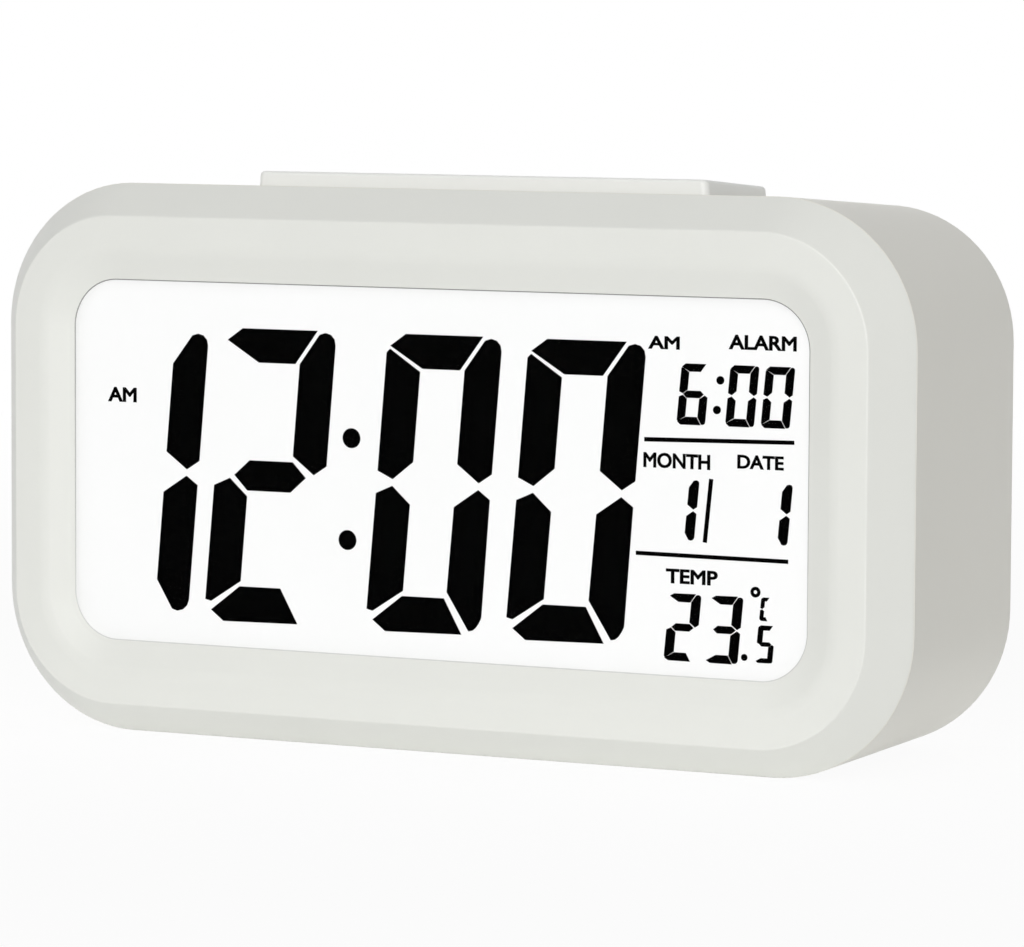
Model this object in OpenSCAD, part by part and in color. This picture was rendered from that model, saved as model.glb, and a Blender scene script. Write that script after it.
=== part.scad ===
// Desk alarm clock: a rounded case with a wide front ring, a segment display behind a clear window,
// a snooze bar on the top, five setting keys and a battery door on the rear.
// +Z is up, +X is to the viewer's right, and the front faces -Y. The origin is under the middle.

/* [Case] */
// Width of the case at the parting line
case_w = 135; // [122:0.5:150]
// Height of the case at the parting line
case_h = 75; // [71:0.5:88]
// Depth from the front ring to the rear wall
case_d = 45; // [42:0.5:56]
// Radius of the four corners
corner_r = 19.5; // [15:0.5:21]
// Wall of the mouldings
wall = 2; // [1.6:0.1:2.4]
// How far each side draws in towards the rear
side_taper = 2; // [0:0.1:3.5]
// How far the top drops towards the rear
top_taper = 2.2; // [0:0.1:3.5]
// Rounding of the rear edge
rear_round = 1.2; // [0.6:0.1:1.8]

/* [Front ring] */
// Width of the chamfer, seen from the front
chamfer_w = 4.3; // [3.5:0.1:5]
// Depth of the chamfer, back to the parting line
chamfer_d = 5.8; // [5:0.1:7]
// Width of the ring from the chamfer to the window
ring_w = 8.6; // [8:0.1:10]
// Width of the ring's inner part, which slopes down to the window
slope_w = 4; // [2:0.1:5]
// Fall of the sloping part
slope_fall = 1.1; // [0.5:0.05:1.3]
// Depth of the window's face behind the ring
lens_recess = 1.6; // [1.5:0.1:1.9]
// Length of the tongue that enters the rear shell
tongue_l = 2.5; // [1.5:0.1:3]

/* [Display] */
// Thickness of the clear window
lens_t = 1.2; // [1:0.1:2]
// How far the window reaches under the ring
lens_lap = 2.5; // [1.5:0.1:2.6]
// Thickness of one display glass
glass_t = 1.1; // [0.7:0.1:1.4]
// Thickness of the light guide
guide_t = 2.5; // [2:0.1:3.5]
// Height of the large figures
figure_h = 39.6; // [34:0.1:42]
// Width of the large figures
figure_w = 17; // [14:0.1:18]
// Width of an upright segment of a large figure
figure_stroke = 5.2; // [3.5:0.1:5.8]
// Lean of all figures, in degrees
slant = 5.3; // [0:0.1:8]

/* [Snooze bar] */
// Length of the bar
bar_w = 67.6; // [50:0.1:76]
// Width of the bar from front to rear
bar_d = 19.6; // [12:0.1:21]
// Distance of the bar behind the front ring
bar_front = 15.1; // [14.5:0.1:18]
// Height of the bar over the top
bar_proud = 2.2; // [1.5:0.1:3]
// Rounding of the bar's upper rear edge
bar_edge = 0.8; // [0.3:0.1:1.2]
// Travel of the bar
bar_travel = 0.8; // [0.5:0.1:1.2]

/* [Rear keys] */
// Width of a key
key_w = 9; // [7:0.5:10.5]
// Height of a key
key_h = 5; // [4:0.5:7]
// Distance from key to key
key_pitch = 14; // [13.2:0.1:15]
// Distance of the keys below the top of the front
key_drop = 17; // [15.5:0.5:18]
// Height of a key over the rear wall
key_proud = 1; // [0.8:0.1:1.6]
// Radius of a key's crowned face
key_crown_r = 24; // [16:1:60]
// Travel of a key
key_travel = 0.6; // [0.3:0.1:0.7]

/* [Batteries] */
// Diameter of a cell
cell_d = 10.5; // [10:0.1:11]
// Length of a cell with its button
cell_l = 44.5; // [43:0.1:46]
// Length of a contact spring with a cell in place
spring_l = 5.2; // [4.6:0.1:6]
// Height of the battery space over the base
cells_low = 9.5; // [7:0.5:11]
// Thickness of the battery door
door_t = 2.2; // [2:0.1:2.6]
// Swing of the battery door, in degrees
door_swing = 90; // [60:1:95]

/* [Screws] */
// Diameter of the case screws
case_screw_d = 2; // [1.8:0.1:2.3]
// Diameter of the board screws
board_screw_d = 1.7; // [1.5:0.1:2]

/* [Hidden] */
$fn = 48;

// Gaps: pieces that sit still in each other, pieces that slide, and the last of a switch's travel
fit = 0.1;
slide_gap = 0.3;
press_gap = 0.1;
eps = 0.01;
// Flat steps that make up a rounding
round_steps = 4;

// Colours
white_abs = [0.9, 0.9, 0.88];
key_white = [0.86, 0.86, 0.84];
board_green = [0.1, 0.36, 0.2];
nickel = [0.75, 0.74, 0.7];
steel = [0.55, 0.55, 0.57];
switch_black = [0.12, 0.12, 0.13];

// The case as a whole
front_y = -(case_d + key_proud) / 2;
mid_z = case_h / 2;
run_x = case_w / 2 - corner_r;
run_z = case_h / 2 - corner_r;
inner_back = case_d - wall;
tongue_t = 1.2;
lip_w = 0.5;
crease_reach = 0.8;
rebate_d = 0.4;
ring_back = lens_recess + rebate_d;

// The window, and what lies behind it from front to rear
view_u = chamfer_w + ring_w;
view_w = case_w - 2 * view_u;
view_h = case_h - 2 * view_u;
lens_back = lens_recess + lens_t;
frame_lip = 0.4;
lcd_front = lens_back + frame_lip;
lcd_mid = lcd_front + glass_t;
lcd_back = lcd_mid + glass_t;
guide_back = lcd_back + guide_t;
sheet_t = 0.3;
sheet_back = guide_back + sheet_t;
board_clear = 0.7;
board_t = 1.6;
board_front = sheet_back + board_clear;
board_back = board_front + board_t;
lcd_margin = 1.6;
lcd_ledge = 2.5;
lcd_w = view_w + 2 * lcd_margin;
lcd_top = mid_z + view_h / 2 + lcd_margin;
lcd_low = mid_z - view_h / 2 - lcd_margin - lcd_ledge;
frame_wall = 1;
frame_round = 4;
frame_w = lcd_w + 2 * (fit + frame_wall);
frame_top = lcd_top + fit + frame_wall;
frame_low = lcd_low - fit - frame_wall;
led_t = 1.1;
guide_w = lcd_w - 2 * (led_t + fit);
segment_t = 0.1;

// Screw bosses beside the display, and the screws
boss_r = 2.2;
boss_root = 0.5;
boss_x = frame_w / 2 + fit + boss_r;
case_boss_z = 19;
board_boss_z = 7;
boss_end = board_back + 1.2;
head_t = 1.4;
well_r = 3;
well_floor = 4;
case_head_r = case_screw_d / 2 + 1.1;
board_head_r = board_screw_d / 2 + 0.9;
screw_bite = 6;
screw_clear = 1.5;
well_seat = boss_end + well_floor;

// The main board and what stands on it
board_edge = 2;
board_round = 12;
board_w = 2 * boss_x + 2 * board_edge;
board_top = case_h - wall - 4;
board_low = wall + 4;
stem_r = 1.75;
stem_l = 1;
switch_w = 6;
switch_body = 3.5;
switch_h = switch_body + stem_l;

// The snooze bar: its flange lies under the top wall, and its arm reaches to the switch
bar_round = 1;
bar_crisp = 0.3;
bar_skin = 1.5;
bar_flange = 1.6;
flange_t = 1.2;
arm_w = 8;
arm_t = 1.8;
arm_post_l = 3;
arm_front = board_back + 0.5;
snooze_d = board_back + switch_body / 2;
snooze_stem_z = top_under(snooze_d) - arm_t - arm_post_l - bar_travel - press_gap;

// The keys on the rear, their switches and their board
key_count = 5;
key_z = case_h - key_drop;
key_flange = 1;
key_flange_back = inner_back - slide_gap;
key_flange_front = key_flange_back - flange_t;
key_post_r = 1.5;
key_post_tip = key_flange_front - 1.1;
key_stem_tip = key_post_tip - key_travel - press_gap;
key_board_back = key_stem_tip - switch_h;
key_board_front = key_board_back - board_t;
key_boss_x = key_pitch * (key_count - 1) / 2 + 9;
key_board_edge = 3.5;
key_board_h = 13;
key_boss_r = 2.4;

// The battery space, its door and its cells
cell_count = 3;
cell_side_gap = 0.4;
cell_pitch = cell_d + cell_side_gap;
cell_floor_gap = 0.3;
cell_door_gap = 0.4;
door_back = case_d;
door_front = door_back - door_t;
cells_floor = door_front - cell_door_gap - cell_d - cell_floor_gap;
cell_axis = cells_floor + cell_floor_gap + cell_d / 2;
plate_t = 0.4;
dimple_h = 0.5;
dimple_r = 2.2;
space_w = cell_l + spring_l + 2 * plate_t + dimple_h;
space_h = cell_count * cell_pitch + cell_side_gap;
space_top = cells_low + space_h;
space_wall = 1.6;
cell_end = space_w / 2 - plate_t - dimple_h;
nub_l = 1.2;
nub_r = 1.9;
rib_w = 1;
rib_h = 2.2;
door_w = space_w - 2 * slide_gap;
door_lap = 3;
door_top = space_top + door_lap;
hinge_d = door_front + door_t / 2;
hinge_z = cells_low + slide_gap + door_t / 2;
hinge_pin_r = 0.6;
hinge_gap = 0.1;
hinge_pin_l = 1.3;
ledge_t = 1.6;
latch_w = 12;
latch_l = 7;
latch_slot = 0.8;
latch_lip = 2;
latch_t = 1.2;
ridge_count = 3;
ridge_w = 8;
ridge_r = 0.6;
ridge_proud = 0.35;
ridge_pitch = 1.8;
notch_w = 16;
notch_h = 5;
plate_w = 8.5;
tab_w = 3;
tab_l = 4;
wire_d = 0.6;
coil_base_r = 3.2;
coil_tip_r = 1.9;
coil_turns = 4;
coil_sides = 6;
coil_rings = 8;

// The sounder, left of the battery space as seen from the front
disc_r = 13.5;
disc_t = 0.3;
ceramic_r = 10;
ceramic_t = 0.25;
disc_holder_t = 1.2;
disc_ledge = 1.2;
disc_seat = inner_back - 1.5;
disc_holder_l = 3.5;
disc_x = -(space_w / 2 + space_wall + disc_r + fit + disc_holder_t + 0.6);
disc_z = mid_z - 3.5;
slot_w = 1.6;
slot_pitch = 3.6;
slot_reach = 9;

// The printed pattern of the display, drawn for a window of this size and fitted to the real one
art_w = 109.2;
art_h = 49.2;
art = min(view_w / art_w, view_h / art_h);
large = [figure_w, figure_h, figure_stroke, 4.55, 0.7];
alarm_size = [3.95, 7.85, 1.05, 0.95, 0.22];
date_size = [4.4, 7.9, 1.3, 1, 0.25];
degree_size = [4.45, 8.7, 1.25, 1, 0.22];
tenth_size = [2.3, 4.8, 0.65, 0.55, 0.12];
letter_size = [1.3, 2.95, 0.45, 0.4, 0.12];
// Each figure: what it shows, its centre from the window's centre, and its size
figures = [
  [1, [-44.9, -1.4], large],
  [2, [-25.3, -1.4], large],
  [0, [-0.5, -1.4], large],
  [0, [20.4, -1.4], large],
  [6, [37.3, 12], alarm_size],
  [0, [44.2, 12], alarm_size],
  [0, [49.2, 12], alarm_size],
  [1, [35.65, -3.05], date_size],
  [1, [48.8, -3.05], date_size],
  [2, [36, -18.35], degree_size],
  [3, [41.95, -18.35], degree_size],
  [5, [47.75, -19.9], tenth_size],
  [10, [47.7, -15.35], letter_size]
];
// Each dot: its centre and radius
dots = [
  [[-12.8, 4.25], 1.33],
  [[-13.5, -9.4], 1.33],
  [[41.1, 13.95], 0.5],
  [[40.65, 10.1], 0.5],
  [[44.8, -21.75], 0.4]
];
// Each rule: its two ends
rules = [
  [[30.4, 5.9], [51.5, 6.3]],
  [[29.3, -8.95], [50.8, -9.05]],
  [[39.1, -7.1], [39.9, 1.1]]
];
rule_t = 0.45;
degree_ring = [[46.3, -13.2], 0.65, 0.3];
// Segments lit for the figures 0 to 9 and for the letter C
lit = ["abcdef", "bc", "abdeg", "abcdg", "bcfg", "acdfg", "acdefg", "abc", "abcdefg", "abcdfg", "adef"];

// Share of the way from the parting line to the rear wall
function rearward(d) = (d - chamfer_d) / (case_d - chamfer_d);
// Height of the case's top, of its underside, and of what slides below that
function top_at(d) = case_h - top_taper * rearward(d);
function top_under(d) = top_at(d) - wall - slide_gap;
function key_x(i) = (i - (key_count - 1) / 2) * key_pitch;
function cell_z(i) = cells_low + cell_side_gap + cell_d / 2 + i * cell_pitch;
function unit(v) = v / norm(v);

// A flat shape, drawn as seen from the front, from one depth behind the front ring to another
module slab(d0, d1) {
  translate([0, front_y + d1, 0])
    rotate([90, 0, 0])
      linear_extrude(d1 - d0)
        children();
}

// A side view, drawn as depth and height, stretched across the middle of the case
module across(w) {
  translate([-w / 2, front_y, 0])
    rotate([90, 0, 90])
      linear_extrude(w)
        children();
}

// A round bar along the depth
module rod(x, z, r, d0, d1) {
  translate([x, front_y + d0, z])
    rotate([-90, 0, 0])
      cylinder(r = r, h = d1 - d0);
}

// A box given by its two ends in x, depth and z
module block(x, d, z) {
  translate([x[0], front_y + d[0], z[0]])
    cube([x[1] - x[0], d[1] - d[0], z[1] - z[0]]);
}

module rounded(w, h, r) {
  square([w - 2 * r, h], center = true);
  square([w, h - 2 * r], center = true);
  for (x = [-1, 1], y = [-1, 1])
    translate([x * (w / 2 - r), y * (h / 2 - r)])
      circle(r);
}

module stadium(w, h) {
  square([w - h, h], center = true);
  for (x = [-1, 1])
    translate([x * (w - h) / 2, 0])
      circle(h / 2);
}

module at_each(xs, zs) {
  for (x = xs, z = zs)
    translate([x, 0, z])
      children();
}

// A corner rounded over the same reach along both of its edges, as points from one edge to the other
function soft_corner(before, corner, after, reach, steps) =
  let (
    a = corner + reach * unit(before - corner),
    c = corner + reach * unit(after - corner)
  )
  [
    for (i = [0:steps])
      let (f = i / steps)
        (1 - f) * (1 - f) * a + 2 * f * (1 - f) * corner + f * f * c
  ];

// The section of the front ring: distance in from the case edge becomes distance from the corner centre
module ring_section() {
  slope = [chamfer_d, chamfer_w] / norm([chamfer_d, chamfer_w]);
  inner_at_parting = wall / slope[0];
  rebate_u = view_u - lens_lap - fit;
  tongue_u = wall + slide_gap;
  tongue_in = tongue_u + tongue_t;
  crease = [view_u - slope_w, 0];
  lip = [view_u - lip_w, slope_fall];
  outline = concat(
    [[0, chamfer_d], [chamfer_w, 0]],
    soft_corner([chamfer_w, 0], crease, lip, crease_reach, round_steps),
    [
      for (i = [0:round_steps])
        let (a = 90 * i / round_steps)
          lip + [lip_w * sin(a), (lens_recess - slope_fall) * (1 - cos(a))]
    ],
    [
      [rebate_u, lens_recess],
      [rebate_u, ring_back],
      [inner_at_parting + (chamfer_d - ring_back) * chamfer_w / chamfer_d, ring_back],
      [tongue_in, chamfer_d - (tongue_in - inner_at_parting) * chamfer_d / chamfer_w],
      [tongue_in, chamfer_d + tongue_l],
      [tongue_u, chamfer_d + tongue_l],
      [tongue_u, chamfer_d]
    ]
  );
  polygon([for (p = outline) [corner_r - p[0], -p[1]]]);
}

// The section carried round the case: four straight runs and four turned corners
module ring_sweep() {
  translate([0, front_y, mid_z])
    rotate([90, 0, 0])
      for (k = [0:3]) {
        run = k % 2 == 0 ? run_x : run_z;
        rise = k % 2 == 0 ? run_z : run_x;
        rotate([0, 0, 90 * k]) {
          translate([-run, rise, 0])
            rotate([90, 0, 90])
              linear_extrude(2 * run)
                ring_section();
          translate([run, rise, 0])
            rotate_extrude(angle = 90)
              ring_section();
        }
      }
}

module front_bezel() {
  color(white_abs)
    difference() {
      union() {
        ring_sweep();
        at_each([-boss_x, boss_x], [mid_z - case_boss_z, mid_z + case_boss_z])
          rod(0, 0, boss_r, ring_back - boss_root, boss_end);
        at_each([-boss_x, boss_x], [mid_z - board_boss_z, mid_z + board_boss_z])
          rod(0, 0, boss_r, ring_back - boss_root, board_front);
      }
      at_each([-boss_x, boss_x], [mid_z - case_boss_z, mid_z + case_boss_z])
        rod(0, 0, case_screw_d / 2 + eps, boss_end - screw_bite - 1, boss_end + 1);
      at_each([-boss_x, boss_x], [mid_z - board_boss_z, mid_z + board_boss_z])
        rod(0, 0, board_screw_d / 2 + eps, board_front - screw_bite, board_front + 1);
    }
}

module display_lens() {
  color([0.92, 0.96, 0.98, 0.4])
    slab(lens_recess, lens_back)
      translate([0, mid_z])
        rounded(view_w + 2 * lens_lap, view_h + 2 * lens_lap, corner_r - view_u + lens_lap);
}

// Two glasses: the front one reaches lower and carries the contacts
module lcd_panel() {
  color([0.93, 0.95, 0.92])
    union() {
      block([-lcd_w / 2, lcd_w / 2], [lcd_front, lcd_mid], [lcd_low, lcd_top]);
      block([-lcd_w / 2, lcd_w / 2], [lcd_mid - eps, lcd_back], [lcd_low + lcd_ledge, lcd_top]);
    }
}

// The outline of one segment, with the figure's centre at the origin and s set to its upper or lower half
function segment(name, size) =
  let (
    w = size[0] / 2,
    h = size[1] / 2,
    t = size[2],
    b = size[3],
    g = size[4],
    s = search(name, "abf") ? 1 : -1,
    x = w - t,
    z = h - b,
    left_rise = 0.62,
    right_rise = 1.5,
    nib = 0.09 * t,
    turn = 0.32 * t,
    tip = 0.65 * g,
    left_z = z - 0.6 * g
  )
  name == "g" ? [
    [-x - 0.42 * t, 0], [-x, 0.45 * b], [x, 0.45 * b],
    [x + 0.42 * t, 0], [x, -0.45 * b], [-x, -0.45 * b]
  ] :
  name == "a" || name == "d" ? [
    [-x + 0.5 * g, s * z], [-w + nib, s * (z + (t - nib) * left_rise)], [-w + nib + 0.42 * t, s * h],
    [x - g + b / right_rise, s * h], [x - g, s * z]
  ] :
  name == "e" || name == "f" ? [
    [-w, s * (tip + 0.2 * t)], [-w + 0.45 * t, s * tip], [-x, s * (tip + 0.46 * t)], [-x, s * left_z],
    [-w + nib, s * (left_z + (t - nib) * left_rise)], [-w, s * (left_z + (t - nib) * left_rise - nib)]
  ] :
  concat(
    [
      [x, s * z], [x, s * (tip + 0.46 * t)], [x + 0.65 * t, s * tip], [w, s * (tip + 0.24 * t)]
    ],
    [for (a = [0:30:90]) [w - turn + turn * cos(a), s * (h - 0.05 * t - turn + turn * sin(a))]],
    [[x + (b - 0.1 * t) / right_rise, s * (h - 0.1 * t)]]
  );

// A point of the pattern: slanted about its figure's centre, and fitted to the window
function lean(p, at) = [(at[0] + p[0] + p[1] * tan(slant)) * art, mid_z + (at[1] + p[1]) * art];

module lcd_segments() {
  color([0.03, 0.03, 0.03])
    slab(lcd_front - segment_t, lcd_front) {
      for (f = figures)
        for (name = lit[f[0]])
          polygon([for (p = segment(name, f[2])) lean(p, f[1])]);
      for (dot = dots)
        translate([dot[0][0] * art, mid_z + dot[0][1] * art])
          circle(dot[1] * art);
      for (r = rules)
        translate([r[0][0] * art, mid_z + r[0][1] * art])
          rotate(atan2(r[1][1] - r[0][1], r[1][0] - r[0][0]))
            translate([0, -rule_t * art / 2])
              square([norm(r[1] - r[0]) * art, rule_t * art]);
      translate([degree_ring[0][0] * art, mid_z + degree_ring[0][1] * art])
        difference() {
          circle(degree_ring[1] * art);
          circle(degree_ring[2] * art);
        }
    }
}

// The tray that keeps the display and its light on the board, with a lip against the window
module lcd_frame() {
  frame_mid = (frame_top + frame_low) / 2;
  color([0.85, 0.85, 0.83])
    difference() {
      slab(lens_back, board_front)
        translate([0, frame_mid])
          rounded(frame_w, frame_top - frame_low, frame_round);
      block(
        [-lcd_w / 2 - fit, lcd_w / 2 + fit],
        [lcd_front, board_front + 1],
        [lcd_low - fit, lcd_top + fit]
      );
      block(
        [-lcd_w / 2 + frame_lip, lcd_w / 2 - frame_lip],
        [lens_back - 1, lcd_front + 1],
        [lcd_low + lcd_ledge + frame_lip, lcd_top - frame_lip]
      );
    }
}

module light_guide() {
  color([0.9, 0.95, 1, 0.6])
    block(
      [-guide_w / 2, guide_w / 2],
      [lcd_back, guide_back],
      [lcd_low + lcd_ledge + fit, lcd_top]
    );
}

module reflector_sheet() {
  color([0.97, 0.97, 0.97])
    block(
      [-guide_w / 2, guide_w / 2],
      [guide_back, sheet_back],
      [lcd_low + lcd_ledge + fit, lcd_top]
    );
}

// One lamp at each end of the light guide, standing on the board
module backlight_leds() {
  led_h = 4;
  color([0.95, 0.9, 0.6])
    for (side = [-1, 1])
      mirror([side < 0 ? 1 : 0, 0, 0])
        block(
          [guide_w / 2 + fit / 2, guide_w / 2 + fit / 2 + led_t],
          [lcd_back + 0.5, board_front],
          [mid_z - led_h / 2, mid_z + led_h / 2]
        );
}

module zebra_strip() {
  zebra_t = lcd_ledge - 2 * fit;
  zebra_inset = 8;
  zebra_w = lcd_w - 2 * zebra_inset;
  color([0.8, 0.5, 0.55])
    block(
      [-zebra_w / 2, zebra_w / 2],
      [lcd_mid, board_front],
      [lcd_low + fit, lcd_low + fit + zebra_t]
    );
}

module main_board() {
  color(board_green)
    difference() {
      slab(board_front, board_back)
        translate([0, (board_top + board_low) / 2])
          rounded(board_w, board_top - board_low, board_round);
      at_each([-boss_x, boss_x], [mid_z - case_boss_z, mid_z + case_boss_z])
        rod(0, 0, boss_r + slide_gap, board_front - 1, board_back + 1);
      at_each([-boss_x, boss_x], [mid_z - board_boss_z, mid_z + board_boss_z])
        rod(0, 0, board_screw_d / 2 + fit, board_front - 1, board_back + 1);
    }
}

// The drop of resin over the bare chip
module chip_cap() {
  cap_r = 6;
  cap_h = 1.8;
  ball_r = (cap_r * cap_r + cap_h * cap_h) / (2 * cap_h);
  color([0.06, 0.06, 0.07])
    translate([-8, front_y + board_back, mid_z])
      rotate([-90, 0, 0])
        intersection() {
          translate([0, 0, cap_h - ball_r])
            sphere(ball_r);
          cylinder(r = cap_r + 1, h = cap_h + 1);
        }
}

module crystal_can() {
  can_r = 1.5;
  can_l = 6;
  can_x = 8;
  can_rise = 6;
  color([0.8, 0.8, 0.8])
    translate([can_x, front_y + board_back + can_r + eps, mid_z + can_rise])
      rotate([0, 90, 0])
        cylinder(r = can_r, h = can_l);
}

module capacitors() {
  can_r = 2.5;
  can_l = 7;
  can_x = -34;
  can_pitch = 8;
  can_z = 22;
  color([0.15, 0.2, 0.4])
    for (i = [0, 1])
      rod(can_x + i * can_pitch, mid_z + can_z, can_r, board_back, board_back + can_l);
}

// The temperature bead on its two legs
module thermistor() {
  bead_r = 1.3;
  bead_x = 36;
  bead_rise = 9;
  leg_r = 0.3;
  leg_gap = 1.2;
  leg_l = 6;
  color([0.1, 0.3, 0.15])
    translate([bead_x, front_y + board_back, board_low + bead_rise])
      rotate([-90, 0, 0])
        union() {
          for (x = [-leg_gap / 2, leg_gap / 2])
            translate([x, 0, 0])
              cylinder(r = leg_r, h = leg_l);
          translate([0, 0, leg_l])
            sphere(bead_r);
        }
}

// Lies on the board with its stem upwards, under the arm of the snooze bar
module snooze_switch() {
  body_top = snooze_stem_z - stem_l;
  color(switch_black)
    union() {
      block(
        [-switch_w / 2, switch_w / 2],
        [board_back, board_back + switch_body],
        [body_top - switch_w, body_top]
      );
      translate([0, front_y + snooze_d, body_top - eps])
        cylinder(r = stem_r - 0.3, h = stem_l + eps);
    }
}

// The case outline at one depth, drawn in by an inset all round
module case_plate(d, inset) {
  r = corner_r - side_taper * rearward(d) - inset;
  half = case_w / 2 - side_taper * rearward(d) - inset - r;
  top = top_at(d) - inset - r;
  for (x = [-half, half], z = [inset + r, top])
    translate([x, front_y + d, z])
      rotate([90, 0, 0])
        cylinder(r = r, h = eps, $fn = 40);
}

module case_solid() {
  hull() {
    case_plate(chamfer_d + eps, 0);
    for (a = [0, 30, 60, 90])
      case_plate(case_d - rear_round * (1 - sin(a)), rear_round * (1 - cos(a)));
  }
}

module case_hollow() {
  hull() {
    case_plate(chamfer_d - 1, wall);
    case_plate(inner_back, wall);
  }
}

module bar_plan(grow) {
  translate([0, front_y + bar_front + bar_d / 2])
    rounded(bar_w + 2 * grow, bar_d + 2 * grow, max(bar_round + grow, bar_crisp));
}

module battery_box() {
  block(
    [-space_w / 2 - space_wall, space_w / 2 + space_wall],
    [cells_floor - space_wall, inner_back + eps],
    [cells_low - space_wall, space_top + space_wall]
  );
  block(
    [-space_w / 2 - space_wall, space_w / 2 + space_wall],
    [door_front - ledge_t, inner_back + eps],
    [space_top, door_top + slide_gap + latch_lip + ledge_t]
  );
}

// The open space for the cells, the seat of the door, its hinge holes and the notch for a finger
module battery_cut() {
  block([-space_w / 2, space_w / 2], [cells_floor, case_d + 1], [cells_low, space_top]);
  block([-space_w / 2, space_w / 2], [door_front, case_d + 1], [space_top - 1, door_top + slide_gap]);
  translate([-space_w / 2 - space_wall - 1, front_y + hinge_d, hinge_z])
    rotate([0, 90, 0])
      cylinder(r = hinge_pin_r + hinge_gap, h = space_w + 2 * space_wall + 2);
  block(
    [-notch_w / 2, notch_w / 2],
    [door_back - latch_t - slide_gap, case_d + 1],
    [door_top, door_top + notch_h]
  );
  for (side = [[-1, 0], [1, cell_count - 1]])
    block(
      [side[0] * (space_w / 2 - plate_t / 2) - plate_t, side[0] * (space_w / 2 - plate_t / 2) + plate_t],
      [cells_floor - space_wall - 1, cells_floor + 1],
      [cell_z(side[1]) - tab_w / 2 - fit, cell_z(side[1]) + tab_w / 2 + fit]
    );
}

module rear_shell() {
  color(white_abs)
    difference() {
      union() {
        difference() {
          case_solid();
          case_hollow();
        }
        at_each([-boss_x, boss_x], [mid_z - case_boss_z, mid_z + case_boss_z])
          rod(0, 0, well_r, boss_end, inner_back + 0.5);
        for (x = [-key_boss_x, key_boss_x])
          rod(x, key_z, key_boss_r, key_board_back, inner_back + 0.5);
        rod(disc_x, disc_z, disc_r + fit + disc_holder_t, disc_seat - disc_holder_l, inner_back + 0.5);
        battery_box();
      }
      at_each([-boss_x, boss_x], [mid_z - case_boss_z, mid_z + case_boss_z]) {
        rod(0, 0, case_head_r + slide_gap, well_seat, case_d + 1);
        rod(0, 0, case_screw_d / 2 + slide_gap, boss_end - 1, well_seat + 1);
      }
      for (x = [-key_boss_x, key_boss_x])
        rod(x, key_z, board_screw_d / 2 + eps, key_board_back - 1, key_board_back + screw_bite);
      rod(disc_x, disc_z, disc_r + fit, disc_seat - disc_holder_l - 1, disc_seat);
      rod(disc_x, disc_z, disc_r - disc_ledge, disc_seat - 1, inner_back);
      for (i = [-2:2])
        slab(inner_back - 1, case_d + 1)
          translate([disc_x + i * slot_pitch, disc_z])
            rotate(90)
              stadium(2 * sqrt(slot_reach * slot_reach - pow(i * slot_pitch, 2)), slot_w);
      for (i = [0:key_count - 1])
        slab(inner_back - 1, case_d + 1)
          translate([key_x(i), key_z])
            stadium(key_w + 2 * slide_gap, key_h + 2 * slide_gap);
      translate([0, 0, top_at(case_d) - wall - 1])
        linear_extrude(wall + top_taper + 3)
          bar_plan(slide_gap);
      battery_cut();
    }
    color(white_abs)
      for (i = [1:cell_count - 1])
        block(
          [-space_w / 4, space_w / 4],
          [cells_floor, cells_floor + rib_h],
          [cell_z(i) - cell_pitch / 2 - rib_w / 2, cell_z(i) - cell_pitch / 2 + rib_w / 2]
        );
}

// A hollow cap through the top wall, with a flange below the wall and an arm to the switch
module snooze_bar() {
  bar_back = bar_front + bar_d;
  flange_front = bar_front - bar_flange;
  flange_back = bar_back + bar_flange;
  low = top_under(bar_back) - flange_t - 1;
  post_w = 2.2;
  color(white_abs)
    difference() {
      union() {
        intersection() {
          translate([0, 0, low])
            linear_extrude(case_h)
              bar_plan(0);
          across(bar_w + 2)
            polygon(concat(
              [
                [bar_back, top_under(bar_back) - flange_t],
                [bar_front, top_under(bar_front) - flange_t]
              ],
              soft_corner(
                [bar_front, low],
                [bar_front, top_at(bar_front) + bar_proud],
                [bar_back, top_at(bar_back) + bar_proud],
                bar_crisp, round_steps
              ),
              soft_corner(
                [bar_front, top_at(bar_front) + bar_proud],
                [bar_back, top_at(bar_back) + bar_proud],
                [bar_back, low],
                bar_edge, round_steps
              )
            ));
        }
        across(bar_w + 2 * bar_flange)
          polygon([
            [flange_front, top_under(flange_front) - flange_t],
            [flange_front, top_under(flange_front)],
            [flange_back, top_under(flange_back)],
            [flange_back, top_under(flange_back) - flange_t]
          ]);
        across(arm_w)
          polygon([
            [arm_front, top_under(arm_front) - arm_t],
            [arm_front, top_under(arm_front)],
            [bar_front, top_under(bar_front)],
            [bar_front, top_under(bar_front) - arm_t]
          ]);
        across(arm_w / 2)
          polygon([
            [snooze_d - post_w / 2, top_under(snooze_d) - arm_t - arm_post_l],
            [snooze_d - post_w / 2, top_under(snooze_d) - arm_t / 2],
            [snooze_d + post_w / 2, top_under(snooze_d) - arm_t / 2],
            [snooze_d + post_w / 2, top_under(snooze_d) - arm_t - arm_post_l]
          ]);
      }
      intersection() {
        translate([0, 0, low - 1])
          linear_extrude(case_h)
            bar_plan(-bar_skin);
        across(bar_w)
          polygon([
            [bar_front, low - 1],
            [bar_front, top_at(bar_front) + bar_proud - bar_skin],
            [bar_back, top_at(bar_back) + bar_proud - bar_skin],
            [bar_back, low - 1]
          ]);
      }
    }
}

module key_board() {
  color(board_green)
    difference() {
      block(
        [-key_boss_x - key_board_edge, key_boss_x + key_board_edge],
        [key_board_front, key_board_back],
        [key_z - key_board_h / 2, key_z + key_board_h / 2]
      );
      for (x = [-key_boss_x, key_boss_x])
        rod(x, key_z, board_screw_d / 2 + fit, key_board_front - 1, key_board_back + 1);
    }
}

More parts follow.
